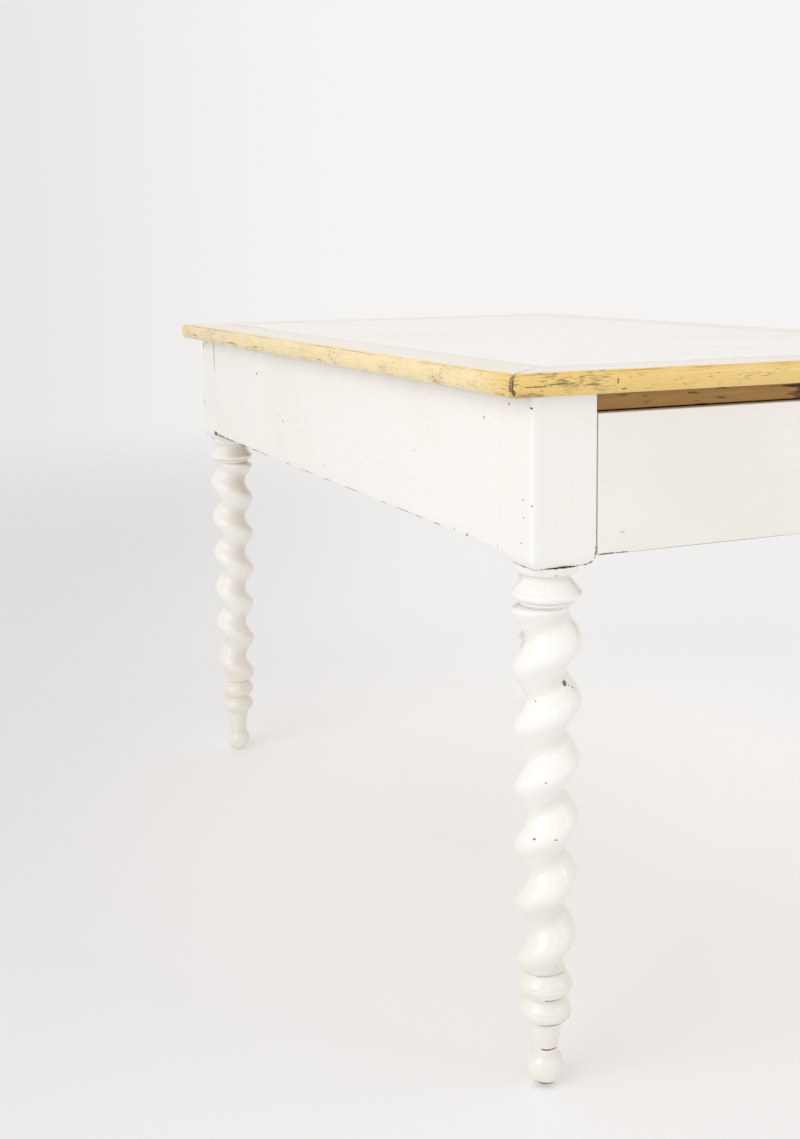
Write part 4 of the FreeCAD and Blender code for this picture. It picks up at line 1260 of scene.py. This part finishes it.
@dataclass
class Leg:
    """A square block over a turned spindle with one helical bead, all on an upright axis.

    Sizes are in metres. A pair holds the radius at the twist's lower end and at its upper end.

    Attributes:
        side: -1 for a left leg and 1 for a right one.
        end: -1 for a front leg and 1 for a back one.
        phase: degrees about the axis, from +X, at which the crest passes the mark height.
        spots: places where the paint is knocked off.
        block: width of the square block.
        block_bottom, block_square: heights of the block's lower end and of its square part's.
        block_ease: how far the block's sides come in at its lower end.
        arris, inner_arris: radii of the block's arris that faces away from both rails, and of the
            one beside the drawer.
        flush: radius of its other arrises.
        pitch: rise of the bead in one turn.
        twist_bottom, twist_top: heights of the twist's ends.
        mark_height: height at which the phase holds.
        crest, root, seat: radii of the crest, of the groove, and of what a rounded end keeps.
        rounded: length of a rounded end.
        fullness: power that makes the bead's section slimmer.
        unshaded_from, shade_fade: height over which the leg has no painted shade, and the depth of
            that painted shade under it.
        ball, foot_flat, ankle: radii of the ball foot, of its flat and of the shin over it.
        groove: width of the fine cut lines.
        uneven_twist, uneven_turning: how far the surfaces stray from true.
        turns: turns of the bead worked out to either side of the mark height.
        spare: how many of them are kept, hidden, past either end of the twist.
        around, rows: vertices round the leg and across the bead.
        pattern: moves the leg's patterns along.
    """

    side: int
    end: int
    phase: float
    spots: tuple[Spot, ...] = ()
    block: float = 0.074
    block_bottom: float = 0.570
    block_square: float = 0.580
    block_ease: float = 0.005
    arris: float = 0.0042
    inner_arris: float = 0.0012
    flush: float = 0.0001
    pitch: float = 0.0637
    twist_bottom: float = 0.127
    twist_top: float = 0.526
    mark_height: float = 0.460
    crest: tuple[float, float] = (0.0315, 0.0376)
    root: tuple[float, float] = (0.0170, 0.0230)
    seat: tuple[float, float] = (0.0205, 0.0262)
    rounded: float = 0.009
    fullness: float = 1.06
    unshaded_from: float = 0.26
    shade_fade: float = 0.14
    ball: float = 0.0203
    foot_flat: float = 0.008
    ankle: float = 0.0142
    groove: float = 0.0006
    uneven_twist: float = 0.00035
    uneven_turning: float = 0.00025
    turns: int = 9
    spare: float = 1.6
    around: int = 96
    rows: int = 32
    pattern: float = 30.0

    def __post_init__(self) -> None:
        """Stand the leg in its corner of the frame's box."""
        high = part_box("legs")[1]
        self.top = high.z
        self.centre = (self.side * (high.x - self.block / 2), self.end * (high.y - self.block / 2))
        end_name = "front" if self.end < 0 else "back"
        side_name = "left" if self.side < 0 else "right"
        self.name = f"leg_{end_name}_{side_name}"
        self.number = self.side + 2 * self.end

    def tapered(self, ends: tuple[float, float], height: np.ndarray) -> np.ndarray:
        """A radius that grows evenly from the twist's lower end to its upper end."""
        share = (height - self.twist_bottom) / (self.twist_top - self.twist_bottom)
        return ends[0] + (ends[1] - ends[0]) * share

    def soiled(self, height: np.ndarray) -> np.ndarray:
        """How much painted shade darkens the leg at a height: 1 low down, and evenly less up to the
        unshaded part.
        """
        return np.clip((self.unshaded_from - height) / self.shade_fade, 0, 1)

    def bead(self, within: np.ndarray) -> np.ndarray:
        """The bead's section across: one plus the cosine, halved, to the power of its fullness.

        Args:
            within: place across the bead: -1 in one groove, 0 on the crest and 1 in the next.

        Returns:
            How far the place stands out, from 0 in the groove to 1 on the crest.
        """
        return ((1 + np.cos(math.pi * within)) / 2) ** self.fullness

    def twist(self) -> Surface:
        """The bead and its groove.

        Rows follow the helix: a row lies at the height of the crest line at its angle plus a share
        of half the pitch. The radius is the groove's plus the bead's section times what the crest
        has more. Towards either end of the twist, what stands out past the seat shrinks along a
        quarter circle. Past the ends the rows lie in the end plane, where they keep the section
        that the bead has there, and shrink to the axis over half a pitch.

        Returns:
            The closed skin, with the mark "hollow" in the groove and a mark of painted shade low
            down.
        """
        hand = self.side * self.end
        turn = np.arange(self.around) / self.around
        half = self.pitch / 2
        across = np.linspace(-1, 1, self.rows, endpoint=False)
        share = (np.arange(-self.turns, self.turns)[:, None] * 2 + across[None]).ravel()
        line = self.mark_height - hand * self.pitch * self.phase / 360 + hand * self.pitch * turn
        height = line[None] + share[:, None] * half
        clamped = np.clip(height, self.twist_bottom, self.twist_top)
        rise = self.bead((clamped - line[None]) / half)
        low = self.tapered(self.root, clamped)
        beyond = np.abs(height - clamped)
        reach = low + (self.tapered(self.crest, clamped) - low) * rise
        nearest = np.minimum(clamped - self.twist_bottom, self.twist_top - clamped)
        rounding = np.sqrt(1 - np.clip(1 - nearest / self.rounded, 0, 1) ** 2)
        seat = self.tapered(self.seat, clamped)
        reach = np.where(reach > seat, seat + (reach - seat) * rounding, reach)
        reach = reach * np.clip(1 - beyond / half, 0, 1)
        angle = 2 * math.pi * turn
        outward = np.stack([np.cos(angle) + 0 * reach, np.sin(angle) + 0 * reach, 0 * reach], -1)
        points = outward * reach[..., None] + np.array([*self.centre, 0])
        points[..., 2] = clamped
        inside = beyond == 0
        uneven = self.uneven_twist * ripple(points, 0.05, Seed.TWIST + self.number)
        points = points + outward * (uneven * inside)[..., None]
        marks = {
            "hollow": np.clip(1 - rise / 0.2, 0, 1) * inside,
            "soiled": self.soiled(clamped),
        }
        spare = self.spare * self.pitch
        reached = (height > self.twist_bottom - spare) & (height < self.twist_top + spare)
        rows = np.flatnonzero(reached.any(1))
        return Surface(
            points[rows].reshape(-1, 3),
            grid_faces(len(rows), self.around, hand * self.rows),
            {name: values[rows].ravel() for name, values in marks.items()},
        )

    def foot(self) -> Surface:
        """Rings, shin and ball under the twist.

        The ball is a circular arc over a worn flat, the shin a slender cone and each ring a curve
        of its own.

        Returns:
            The closed skin.
        """
        ball, flat, ankle = self.ball, self.foot_flat, self.ankle
        middle = math.sqrt(ball ** 2 - flat ** 2)
        angle = np.linspace(-math.acos(flat / ball), math.acos(ankle / ball), 18)
        shin = [[ankle, 0.038], [ankle, 0.043], [0.0158, 0.055], [0.0172, 0.0685], [0.0174, 0.0708]]
        pieces = [
            np.array([[0, 0], [flat * 0.6, 0]]),
            np.stack([ball * np.cos(angle), middle + ball * np.sin(angle)], 1),
            np.array(shin),
            self.ring(0.0712, 0.0985, 0.0195, 0.0280),
            np.array([[0.0203, 0.0988], [0.0203, 0.0994]]),
            self.ring(0.0997, self.twist_bottom, 0.0203, 0.0288),
            np.array([[0, self.twist_bottom]]),
        ]
        return self.turned_form(pieces)

    def head(self) -> Surface:
        """Fillet, collar, neck and disc between the twist and the block.

        The collar rolls out and back over most of a half ellipse. From there its radius falls to
        the neck in a nearly straight slope, less a narrow bell curve for a fine line.

        Returns:
            The closed skin.
        """
        lip, widest, neck, neck_height = 0.0310, 0.0370, 0.0242, 0.5552
        roll_middle, roll_half, line_height = 0.5378, 0.0050, 0.5432
        rise = np.linspace(-math.pi / 2, 0.9, 15)
        swell = lip + (widest - lip) * np.cos(rise)
        roll = np.stack([swell, roll_middle + roll_half * np.sin(rise)], 1)
        fall = np.linspace(0, 1, 25)[1:]
        level = roll[-1, 1] + (neck_height - roll[-1, 1]) * fall ** 0.9
        line = 0.0005 * np.exp(-(((level - line_height) / self.groove) ** 2))
        slope = np.stack([roll[-1, 0] + (neck - roll[-1, 0]) * fall - line, level], 1)
        top = self.twist_top
        seat = [[0, top], [0.0262, top], [0.0270, top + 0.0004], [0.0270, top + 0.0012]]
        fillet = [[0.0264, 0.5276], [0.0264, 0.5279], [0.0292, 0.5284], [0.0298, 0.5294]]
        fillet += [[0.0296, 0.5308], [0.0288, 0.5314], [0.0288, 0.5318]]
        throat = [[neck, 0.5558], [neck, 0.5580], [0.0258, 0.5592], [0.0285, 0.5597]]
        disc = [[0.0315, 0.5616], [0.0336, 0.5650], [0.0348, 0.5685], [0.035, 0.5702], [0, 0.5702]]
        return self.turned_form([np.array(seat + fillet), roll, slope, np.array(throat + disc)])

    def ring(self, low: float, high: float, seat: float, widest: float) -> np.ndarray:
        """A ring's profile, with two fine lines cut over and under its widest place.

        Between two heights it goes from its seat out to its widest and back by the cosine of the
        share of the half height, to the power of 0.9, less two narrow bell curves for the lines.
        Its widest place sinks a little below the middle.

        Args:
            low: height of its lower end in metres.
            high: height of its upper end in metres.
            seat: radius at both ends in metres.
            widest: radius at its widest in metres.

        Returns:
            Radius and height of each point.
        """
        share = np.linspace(-1, 1, 49)
        sink = 0.0008
        middle, half = (low + high) / 2 - sink, (high - low) / 2
        rise = np.cos(share * math.pi / 2) ** 0.9
        level = middle + sink * np.abs(share) + half * share
        line = np.exp(-(((share - 0.14) * half / self.groove) ** 2))
        line += 0.6 * np.exp(-(((share + 0.2) * half / self.groove) ** 2))
        return np.stack([seat + (widest - seat) * rise - self.groove * line, level], 1)

    def turned_form(self, pieces: list[np.ndarray]) -> Surface:
        """Turn a profile made of stretches, and mark where it is hollow and where it stands out.

        Args:
            pieces: stretches of the profile, each with the radius and height of its points.

        Returns:
            The closed skin, with the marks "hollow" and "arris", and a mark of painted shade low
            down.
        """
        profile = np.concatenate(pieces)
        radius = profile[:, 0]
        local = np.convolve(np.pad(radius, 4, mode="edge"), np.ones(9) / 9, mode="valid")
        marks = {
            "hollow": np.clip((local - radius) / 0.003, 0, 1) * (radius > 0.005),
            "arris": np.clip((radius - local) / 0.0015, 0, 1),
            "soiled": self.soiled(profile[:, 1]),
        }
        made = turned(profile, self.centre, marks)
        uneven = self.uneven_turning * ripple(made.points, 0.03, Seed.TURNED + self.number)
        offset = made.points - np.array([*self.centre, 0])
        offset[:, 2] = 0
        length = np.linalg.norm(offset, axis=1, keepdims=True)
        inside = (made.points[:, 2] > 0.002) & (made.points[:, 2] < self.block_bottom)
        outward = offset / np.maximum(length, DOUBLE)
        made.points = made.points - outward * (np.abs(uneven) * inside)[:, None]
        return made

    def block_form(self) -> Surface:
        """The square block, whose four sides come in over its last centimetre.

        It is a bar whose section shrinks below the square part by the ease times the share of that
        drop to the power of one and a half. Only the arris that faces away from both rails is
        round: beside the aprons and the drawer the block is flush.

        Returns:
            The closed skin, with the marks "arris" and "worn".
        """
        half = self.block / 2
        low = (self.centre[0] - half, self.centre[1] - half, self.block_bottom)
        high = (self.centre[0] + half, self.centre[1] + half, self.top)
        corners = ((1, 1), (-1, 1), (-1, -1), (1, -1))
        edges = {(self.side, self.end): self.arris, (-self.side, self.end): self.inner_arris}
        arrises = [edges.get(corner, self.flush) for corner in corners]
        made = bar(low, high, Axis.Z, arrises, ends=(0.0015, self.flush), pitch=0.0035)
        made = dented(made, depth=0.0005, size=0.02, seed=Seed.BLOCK + self.number)
        drop = self.block_square - self.block_bottom
        share = np.clip((self.block_square - made.points[:, 2]) / drop, 0, 1)
        scale = 1 - self.block_ease / half * share ** 1.5
        centre = np.array(self.centre)
        made.points[:, :2] = centre + (made.points[:, :2] - centre) * scale[:, None]
        return made

    def build(self) -> None:
        """Build the leg as one piece and dress it."""
        surface = Surface.joined([self.block_form(), self.head(), self.twist(), self.foot()])
        piece = surface.piece(f"{self.name}_shown", sharp=45)
        paint = WornPaint(
            f"{self.name}_finish", Axis.Z, chips=0.25, rubbing=0.35, hollow_dirt_and_shade=0.14, gloss=0.17,
            shift=self.pattern + self.side + 2.5 * self.end, spots=self.spots,
        )
        dress(piece, paint.material())
        place_piece(piece, "frame", Slot.WHITE, "legs")


@dataclass
class Underframe:
    """Aprons, rails, drawer strips and glue blocks between the legs.

    Attributes:
        ease: radius of an apron's lower outer arris.
        hidden: radius of its other arrises.
        rail_drop: how far the upper rails hang lower than their solids.
        rail_shaded_ends: distance from the middle past which the upper rails show dark bare wood,
            which paints in the shade of the gaps beside the leg blocks.
        painted_depth: how far the paint reaches back on the upper rails.
        rail_pattern, apron_pattern, board_pattern: move the patterns along.
    """

    ease: float = 0.0016
    hidden: float = 0.0003
    rail_drop: float = 0.0014
    rail_shaded_ends: float = 0.266
    painted_depth: float = 0.012
    apron_pattern: float = 50.0
    rail_pattern: float = 70.0
    board_pattern: float = 100.0

    def apron(self, side: int) -> None:
        """A long apron, flush with the leg blocks, painted outside and on its lower edge.

        Args:
            side: -1 for the left apron and 1 for the right one.
        """
        node = "apron_left" if side < 0 else "apron_right"
        low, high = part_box(node)
        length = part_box("legs")[1].y - Leg.block
        outside = self.ease if side > 0 else self.hidden
        inside = self.hidden if side > 0 else self.ease
        arrises = (self.hidden, self.hidden, inside, outside)
        start, stop = (low.x, -length, low.z), (high.x, length, high.z)
        surface = bar(start, stop, Axis.Y, arrises, ends=(0.0001, 0.0001), pitch=0.003)
        surface = dented(surface, depth=0.0008, size=0.018, seed=Seed.APRON + side)
        piece = surface.piece(f"{node}_shown")
        inner = min(abs(low.x), abs(high.x))

        def cover(graph: Graph) -> Socket:
            """Painted but for the inner face, past a wandering brush line.

            Args:
                graph: the material's graph.

            Returns:
                1 where the paint lies and 0 on bare boards.
            """
            wander = graph.times(graph.noise(0.03, 2.0), 0.006)
            depth = graph.minus(graph.size(graph.x), wander)
            return graph.step(depth, inner - 0.0005, inner + 0.0005)

        paint = WornPaint(
            f"{node}_finish", Axis.Y, chips=0.1, rubbing=0.35, shift=self.apron_pattern + side,
            cover=cover, spots=APRON_SPOTS if side < 0 else (),
        )
        dress(piece, paint.material())
        place_piece(piece, "frame", Slot.WHITE, node)

    def upper_rail(self, end: int) -> None:
        """The rail over a drawer: yellow paint worn to brown, most of all at the middle.

        Its lower edge hangs lower by the drop.

        Args:
            end: -1 for the front rail and 1 for the back one.
        """
        node = "upper_rail_front" if end < 0 else "upper_rail_back"
        piece = softened(node, 0.0006)
        low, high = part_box(node)
        places = np.empty(3 * len(piece.data.vertices), np.float32)
        piece.data.vertices.foreach_get("co", places)
        places[2::3] -= self.rail_drop * (places[2::3] < low.z + 1e-4)
        piece.data.vertices.foreach_set("co", places)
        front = abs(low.y if end < 0 else high.y)
        graph = Graph(f"{node}_finish")
        shift = self.rail_pattern + end
        yellow = YellowEdge(node, Axis.X, shift, "B08644", "B08644", "9E753C").coat(graph)
        wood = BareWood(node, Axis.X, "86603A", "4A3220", shift + 1).layer(graph)
        plain = BareWood(node, Axis.X, shift=shift + 2).layer(graph)
        patch = graph.noise(0.003, 4.0, along(Axis.X, 0.12), shift + 3)
        hand = graph.step(graph.size(graph.x), 0.05, 0.0)
        value = graph.plus(patch, graph.times(hand, 0.2))
        # Dark bare wood at the rail's ends paints in the shade of the gaps beside the leg blocks.
        ends = graph.step(graph.size(graph.x), self.rail_shaded_ends, self.rail_shaded_ends + 0.0015)
        worn = graph.layers(graph.most(graph.step(value, 0.62, 0.7), ends), yellow, wood)
        line = front - self.painted_depth
        painted = graph.step(graph.size(graph.y), line - 0.001, line + 0.001)
        tone = graph.mix(painted, plain.colour, worn.colour)
        worn = Layer(tone, worn.roughness, worn.height)
        dress(piece, graph.finish(worn, Specular_IOR_Level=0.4))
        place_piece(piece, "frame", Slot.YELLOW, node)

    def boards(self) -> None:
        """The bare pieces that nobody sees with the drawers shut."""
        runs = {"lower_rail": Axis.X, "centre_rail": Axis.X, "glue_blocks": Axis.Y}
        runs |= {"runner": Axis.Y, "guide": Axis.Y, "kicker": Axis.Y}
        found = [node for node in sorted(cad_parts) if node.startswith(tuple(runs))]
        for index, node in enumerate(found):
            grain = next(axis for name, axis in runs.items() if node.startswith(name))
            piece = softened(node, 0.0008)
            shift = self.board_pattern + 1.7 * index
            dress(piece, BareWood(f"{node}_finish", grain, shift=shift).material())
            place_piece(piece, "frame", Slot.WOOD, node)

    def build(self) -> None:
        """Build and dress the underframe."""
        for sign in (-1, 1):
            self.apron(sign)
            self.upper_rail(sign)
        self.boards()


@dataclass
class Drawer:
    """A dovetailed drawer with a painted front and no knob.

    Attributes:
        end: -1 for the front drawer and 1 for the back one.
        ease: radius of the front's arrises.
        shrunk: how much the front has shrunk at either end, which opens its seams.
        pattern, board_pattern: move the patterns of the front and of the other boards along.
    """

    end: int
    ease: float = 0.0012
    shrunk: float = 0.0002
    pattern: float = 90.0
    board_pattern: float = 140.0

    def __post_init__(self) -> None:
        """Name the drawer's body and find its front."""
        self.body = "front_drawer" if self.end < 0 else "back_drawer"
        low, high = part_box(f"{self.body}_face")
        self.low, self.high = low, high
        self.inner = min(abs(low.y), abs(high.y))

    def face(self) -> None:
        """The front: painted outside and on its edges, with small chips along them."""
        node = f"{self.body}_face"
        low = (self.low.x + self.shrunk, self.low.y, self.low.z)
        high = (self.high.x - self.shrunk, self.high.y, self.high.z)
        surface = bar(low, high, Axis.X, (self.ease,) * 4, (self.ease, self.ease), pitch=0.003)
        surface = dented(surface, depth=0.0006, size=0.02, seed=Seed.FACE + self.end)
        piece = surface.piece(f"{node}_shown")
        inner = self.inner

        def cover(graph: Graph) -> Socket:
            """Painted but for the back, past a wandering brush line.

            Args:
                graph: the material's graph.

            Returns:
                1 where the paint lies and 0 on bare boards.
            """
            wander = graph.times(graph.noise(0.02, 2.0), 0.004)
            depth = graph.minus(graph.size(graph.y), wander)
            return graph.step(depth, inner - 0.0002, inner + 0.0008)

        paint = WornPaint(
            f"{node}_finish", Axis.X, "F1EFEA", "ECE7DD", chips=0.1, rubbing=0.3,
            shift=self.pattern + self.end, cover=cover, spots=DRAWER_SPOTS if self.end < 0 else (),
        )
        dress(piece, paint.material())
        place_piece(piece, self.body, Slot.WHITE, node)

    def build(self) -> None:
        """Build and dress the drawer's five boards."""
        self.face()
        grains = {"left_side": Axis.Y, "right_side": Axis.Y, "rear": Axis.X, "bottom": Axis.X}
        for index, (part, grain) in enumerate(grains.items()):
            node = f"{self.body}_{part}"
            piece = softened(node, 0.0006)
            shift = self.board_pattern + 2.3 * index + self.end
            wood = BareWood(f"{node}_finish", grain, "D2AE7C", "A67A48", shift)
            dress(piece, wood.material())
            place_piece(piece, self.body, Slot.WOOD, node)


# ---------------------------------------------------------------- studio


@dataclass(frozen=True)
class Lamp:
    """A square soft box turned towards the table.

    Attributes:
        name: the light's name.
        place: its place in metres.
        size: its width in metres.
        power: its power in watts.
        aim: the point that it is turned to.
    """

    name: str
    place: tuple[float, float, float]
    size: float
    power: float
    aim: tuple[float, float, float] = (0.0, 0.0, 0.5)

    def build(self) -> None:
        """Hang the soft box."""
        data = bpy.data.lights.new(self.name, "AREA")
        data.shape = "SQUARE"
        data.size = self.size
        data.energy = self.power
        made = bpy.data.objects.new(self.name, data)
        bpy.context.scene.collection.objects.link(made)
        way = Vector(self.aim) - Vector(self.place)
        turn = way.to_track_quat("-Z", "Y").to_matrix().to_4x4()
        made.matrix_world = Matrix.Translation(self.place) @ turn


@dataclass(frozen=True)
class Studio:
    """A pale sweep of paper, soft lights and the camera.

    Attributes:
        eye: the camera's place, in metres.
        yaw: turn from +Y towards +X, in radians.
        pitch: tilt downwards, in radians.
        roll: turn of the picture, in radians.
        focal_pixels: focal length in pixels of the frame.
        frame_pixels: height of the frame in pixels.
        shift_pixels: how far the picture's middle is moved, in pixels.
        sensor: sensor size in millimetres.
        left: level direction in which the sky gets dimmer and the paper has painted shade.
        paper, shaded_paper, lit_paper_under_table: the paper, its painted shade to the left, and
        its painted light under the table.
        painted_glow, painted_glow_colour: painted light that the paper gives by itself, though it
            is no lamp.
        sky, dim_sky: the sky, and where it is dimmer.
    """

    eye: tuple[float, float, float] = (-0.99752, -1.80291, 0.88078)
    yaw: float = 0.4052
    pitch: float = 0.1268
    roll: float = -0.0107
    focal_pixels: float = 1395.81
    frame_pixels: int = 1139
    shift_pixels: float = -133.0
    sensor: float = 36.0
    left: tuple[float, float, float] = (-0.92, 0.39, 0.0)
    paper: str = "CECFD0"
    shaded_paper: str = "B4B4B4"
    lit_paper_under_table: str = "DEDFE0"
    painted_glow: float = 0.32
    painted_glow_colour: str = "F7F6F6"
    sky: str = "F6F4F2"
    dim_sky: str = "E8E6E4"

    def camera(self) -> None:
        """A camera at the eye, tilted by its pitch, whose picture is shifted down."""
        data = bpy.data.cameras.new("camera")
        data.sensor_width = self.sensor
        data.lens = self.focal_pixels / self.frame_pixels * self.sensor
        data.shift_y = self.shift_pixels / self.frame_pixels
        data.clip_end = 100
        made = bpy.data.objects.new("camera", data)
        bpy.context.scene.collection.objects.link(made)
        ahead = Vector((
            math.sin(self.yaw) * math.cos(self.pitch),
            math.cos(self.yaw) * math.cos(self.pitch),
            -math.sin(self.pitch),
        ))
        right = Vector((math.cos(self.yaw), -math.sin(self.yaw), 0))
        up = right.cross(ahead)
        cosine, sine = math.cos(self.roll), math.sin(self.roll)
        across = cosine * right + sine * up
        upward = -sine * right + cosine * up
        turn = Matrix((across, upward, -ahead)).transposed().to_4x4()
        made.matrix_world = Matrix.Translation(self.eye) @ turn
        bpy.context.scene.camera = made

    def floor(self) -> None:
        """Pale paper with painted shade to the left, painted light under the table and a painted
        glow, that thins out to the sky far off.
        """
        reach, count = 12.0, 9
        side = np.linspace(-reach, reach, count)
        x, y = np.meshgrid(side, side, indexing="ij")
        points = np.stack([x, y, 0 * x - 0.0002], -1).reshape(-1, 3)
        row, column = np.meshgrid(np.arange(count - 1), np.arange(count - 1), indexing="ij")
        corner = (row * count + column).ravel()
        faces = np.stack([corner, corner + count, corner + count + 1, corner + 1], 1)
        mesh = bpy.data.meshes.new("floor")
        mesh.from_pydata(points.tolist(), [], faces.tolist())
        made = bpy.data.objects.new("floor", mesh)
        bpy.context.scene.collection.objects.link(made)
        graph = Graph("paper")
        tooth = graph.noise(0.003, 2.0)
        leftward = graph.plus(
            graph.times(graph.x, self.left[0]), graph.times(graph.y, self.left[1])
        )
        # Painted shade darkens the paper to the left.
        paper_shade = graph.step(leftward, -0.1, 1.2)
        tone = graph.mix(paper_shade, linear(self.paper), linear(self.shaded_paper))
        # Painted light brightens the paper under the table.
        painted_light_under_table = graph.step(graph.length(graph.place, (0.2, 0.15, 0.0)), 1.0, 0.1)
        tone = graph.mix(painted_light_under_table, tone, linear(self.lit_paper_under_table))
        layer = Layer(tone, graph.blend(tooth, 0.75, 0.85), graph.times(tooth, 0.00005))
        # The paper glows: painted light.
        material = graph.finish(
            layer, Specular_IOR_Level=0.2, Emission_Color=linear(self.painted_glow_colour),
            Emission_Strength=self.painted_glow,
        )
        dress(made, material)
        shader = graph.tree.nodes["Principled BSDF"].outputs[0]
        far = graph.step(graph.length(graph.place), 2.2, 6.0)
        clear = graph.node("ShaderNodeBsdfTransparent").outputs[0]
        blend = graph.node("ShaderNodeMixShader", {0: far, 1: shader, 2: clear})
        surface = graph.tree.nodes["Material Output"].inputs["Surface"]
        graph.tree.links.new(blend.outputs[0], surface)

    def world(self) -> None:
        """An even pale sky, a little dimmer to the left of the table's front."""
        world = bpy.data.worlds.new("sky")
        world.use_nodes = True
        tree = world.node_tree
        way = tree.nodes.new("ShaderNodeTexCoord").outputs["Generated"]
        left = tree.nodes.new("ShaderNodeVectorMath")
        left.operation = "DOT_PRODUCT"
        left.inputs[1].default_value = self.left
        tree.links.new(way, left.inputs[0])
        share = tree.nodes.new("ShaderNodeMapRange")
        share.interpolation_type = "SMOOTHSTEP"
        share.inputs["From Min"].default_value = 0.0
        share.inputs["From Max"].default_value = 0.34
        tree.links.new(left.outputs["Value"], share.inputs["Value"])
        tone = tree.nodes.new("ShaderNodeMix")
        tone.data_type = "RGBA"
        tone.inputs[6].default_value = linear(self.sky)
        tone.inputs[7].default_value = linear(self.dim_sky)
        tree.links.new(share.outputs[0], tone.inputs[0])
        tree.links.new(tone.outputs[2], tree.nodes["Background"].inputs["Color"])
        bpy.context.scene.world = world

    def build(self) -> None:
        """Set up camera, floor, sky and lamps: a wide one, and four small ones for highlights."""
        bpy.context.scene.view_settings.view_transform = "Standard"
        self.camera()
        self.floor()
        self.world()
        Lamp("key", (-3.0, -1.1, 1.9), 2.4, 33.0).build()
        for side, power in ((2.4, 3.2), (-1.1, 1.0)):
            for level in (2.7, 1.5):
                Lamp(f"window_{side}_{level}", (side, -3.6, level), 0.26, power).build()


def main() -> None:
    """Build the studio and the table's sub-assemblies in order."""
    logging.basicConfig(level=logging.INFO, format="%(name)s: %(message)s")
    Studio().build()
    TableTop().build()
    Underframe().build()
    for end, phase, spots in ((-1, 167.0, NEAR_LEG_SPOTS), (1, -18.0, FAR_LEG_SPOTS)):
        Leg(-1, end, phase, spots).build()
        Leg(1, end, 180 - phase).build()
        Drawer(end).build()


if __name__ == "__main__":
    main()
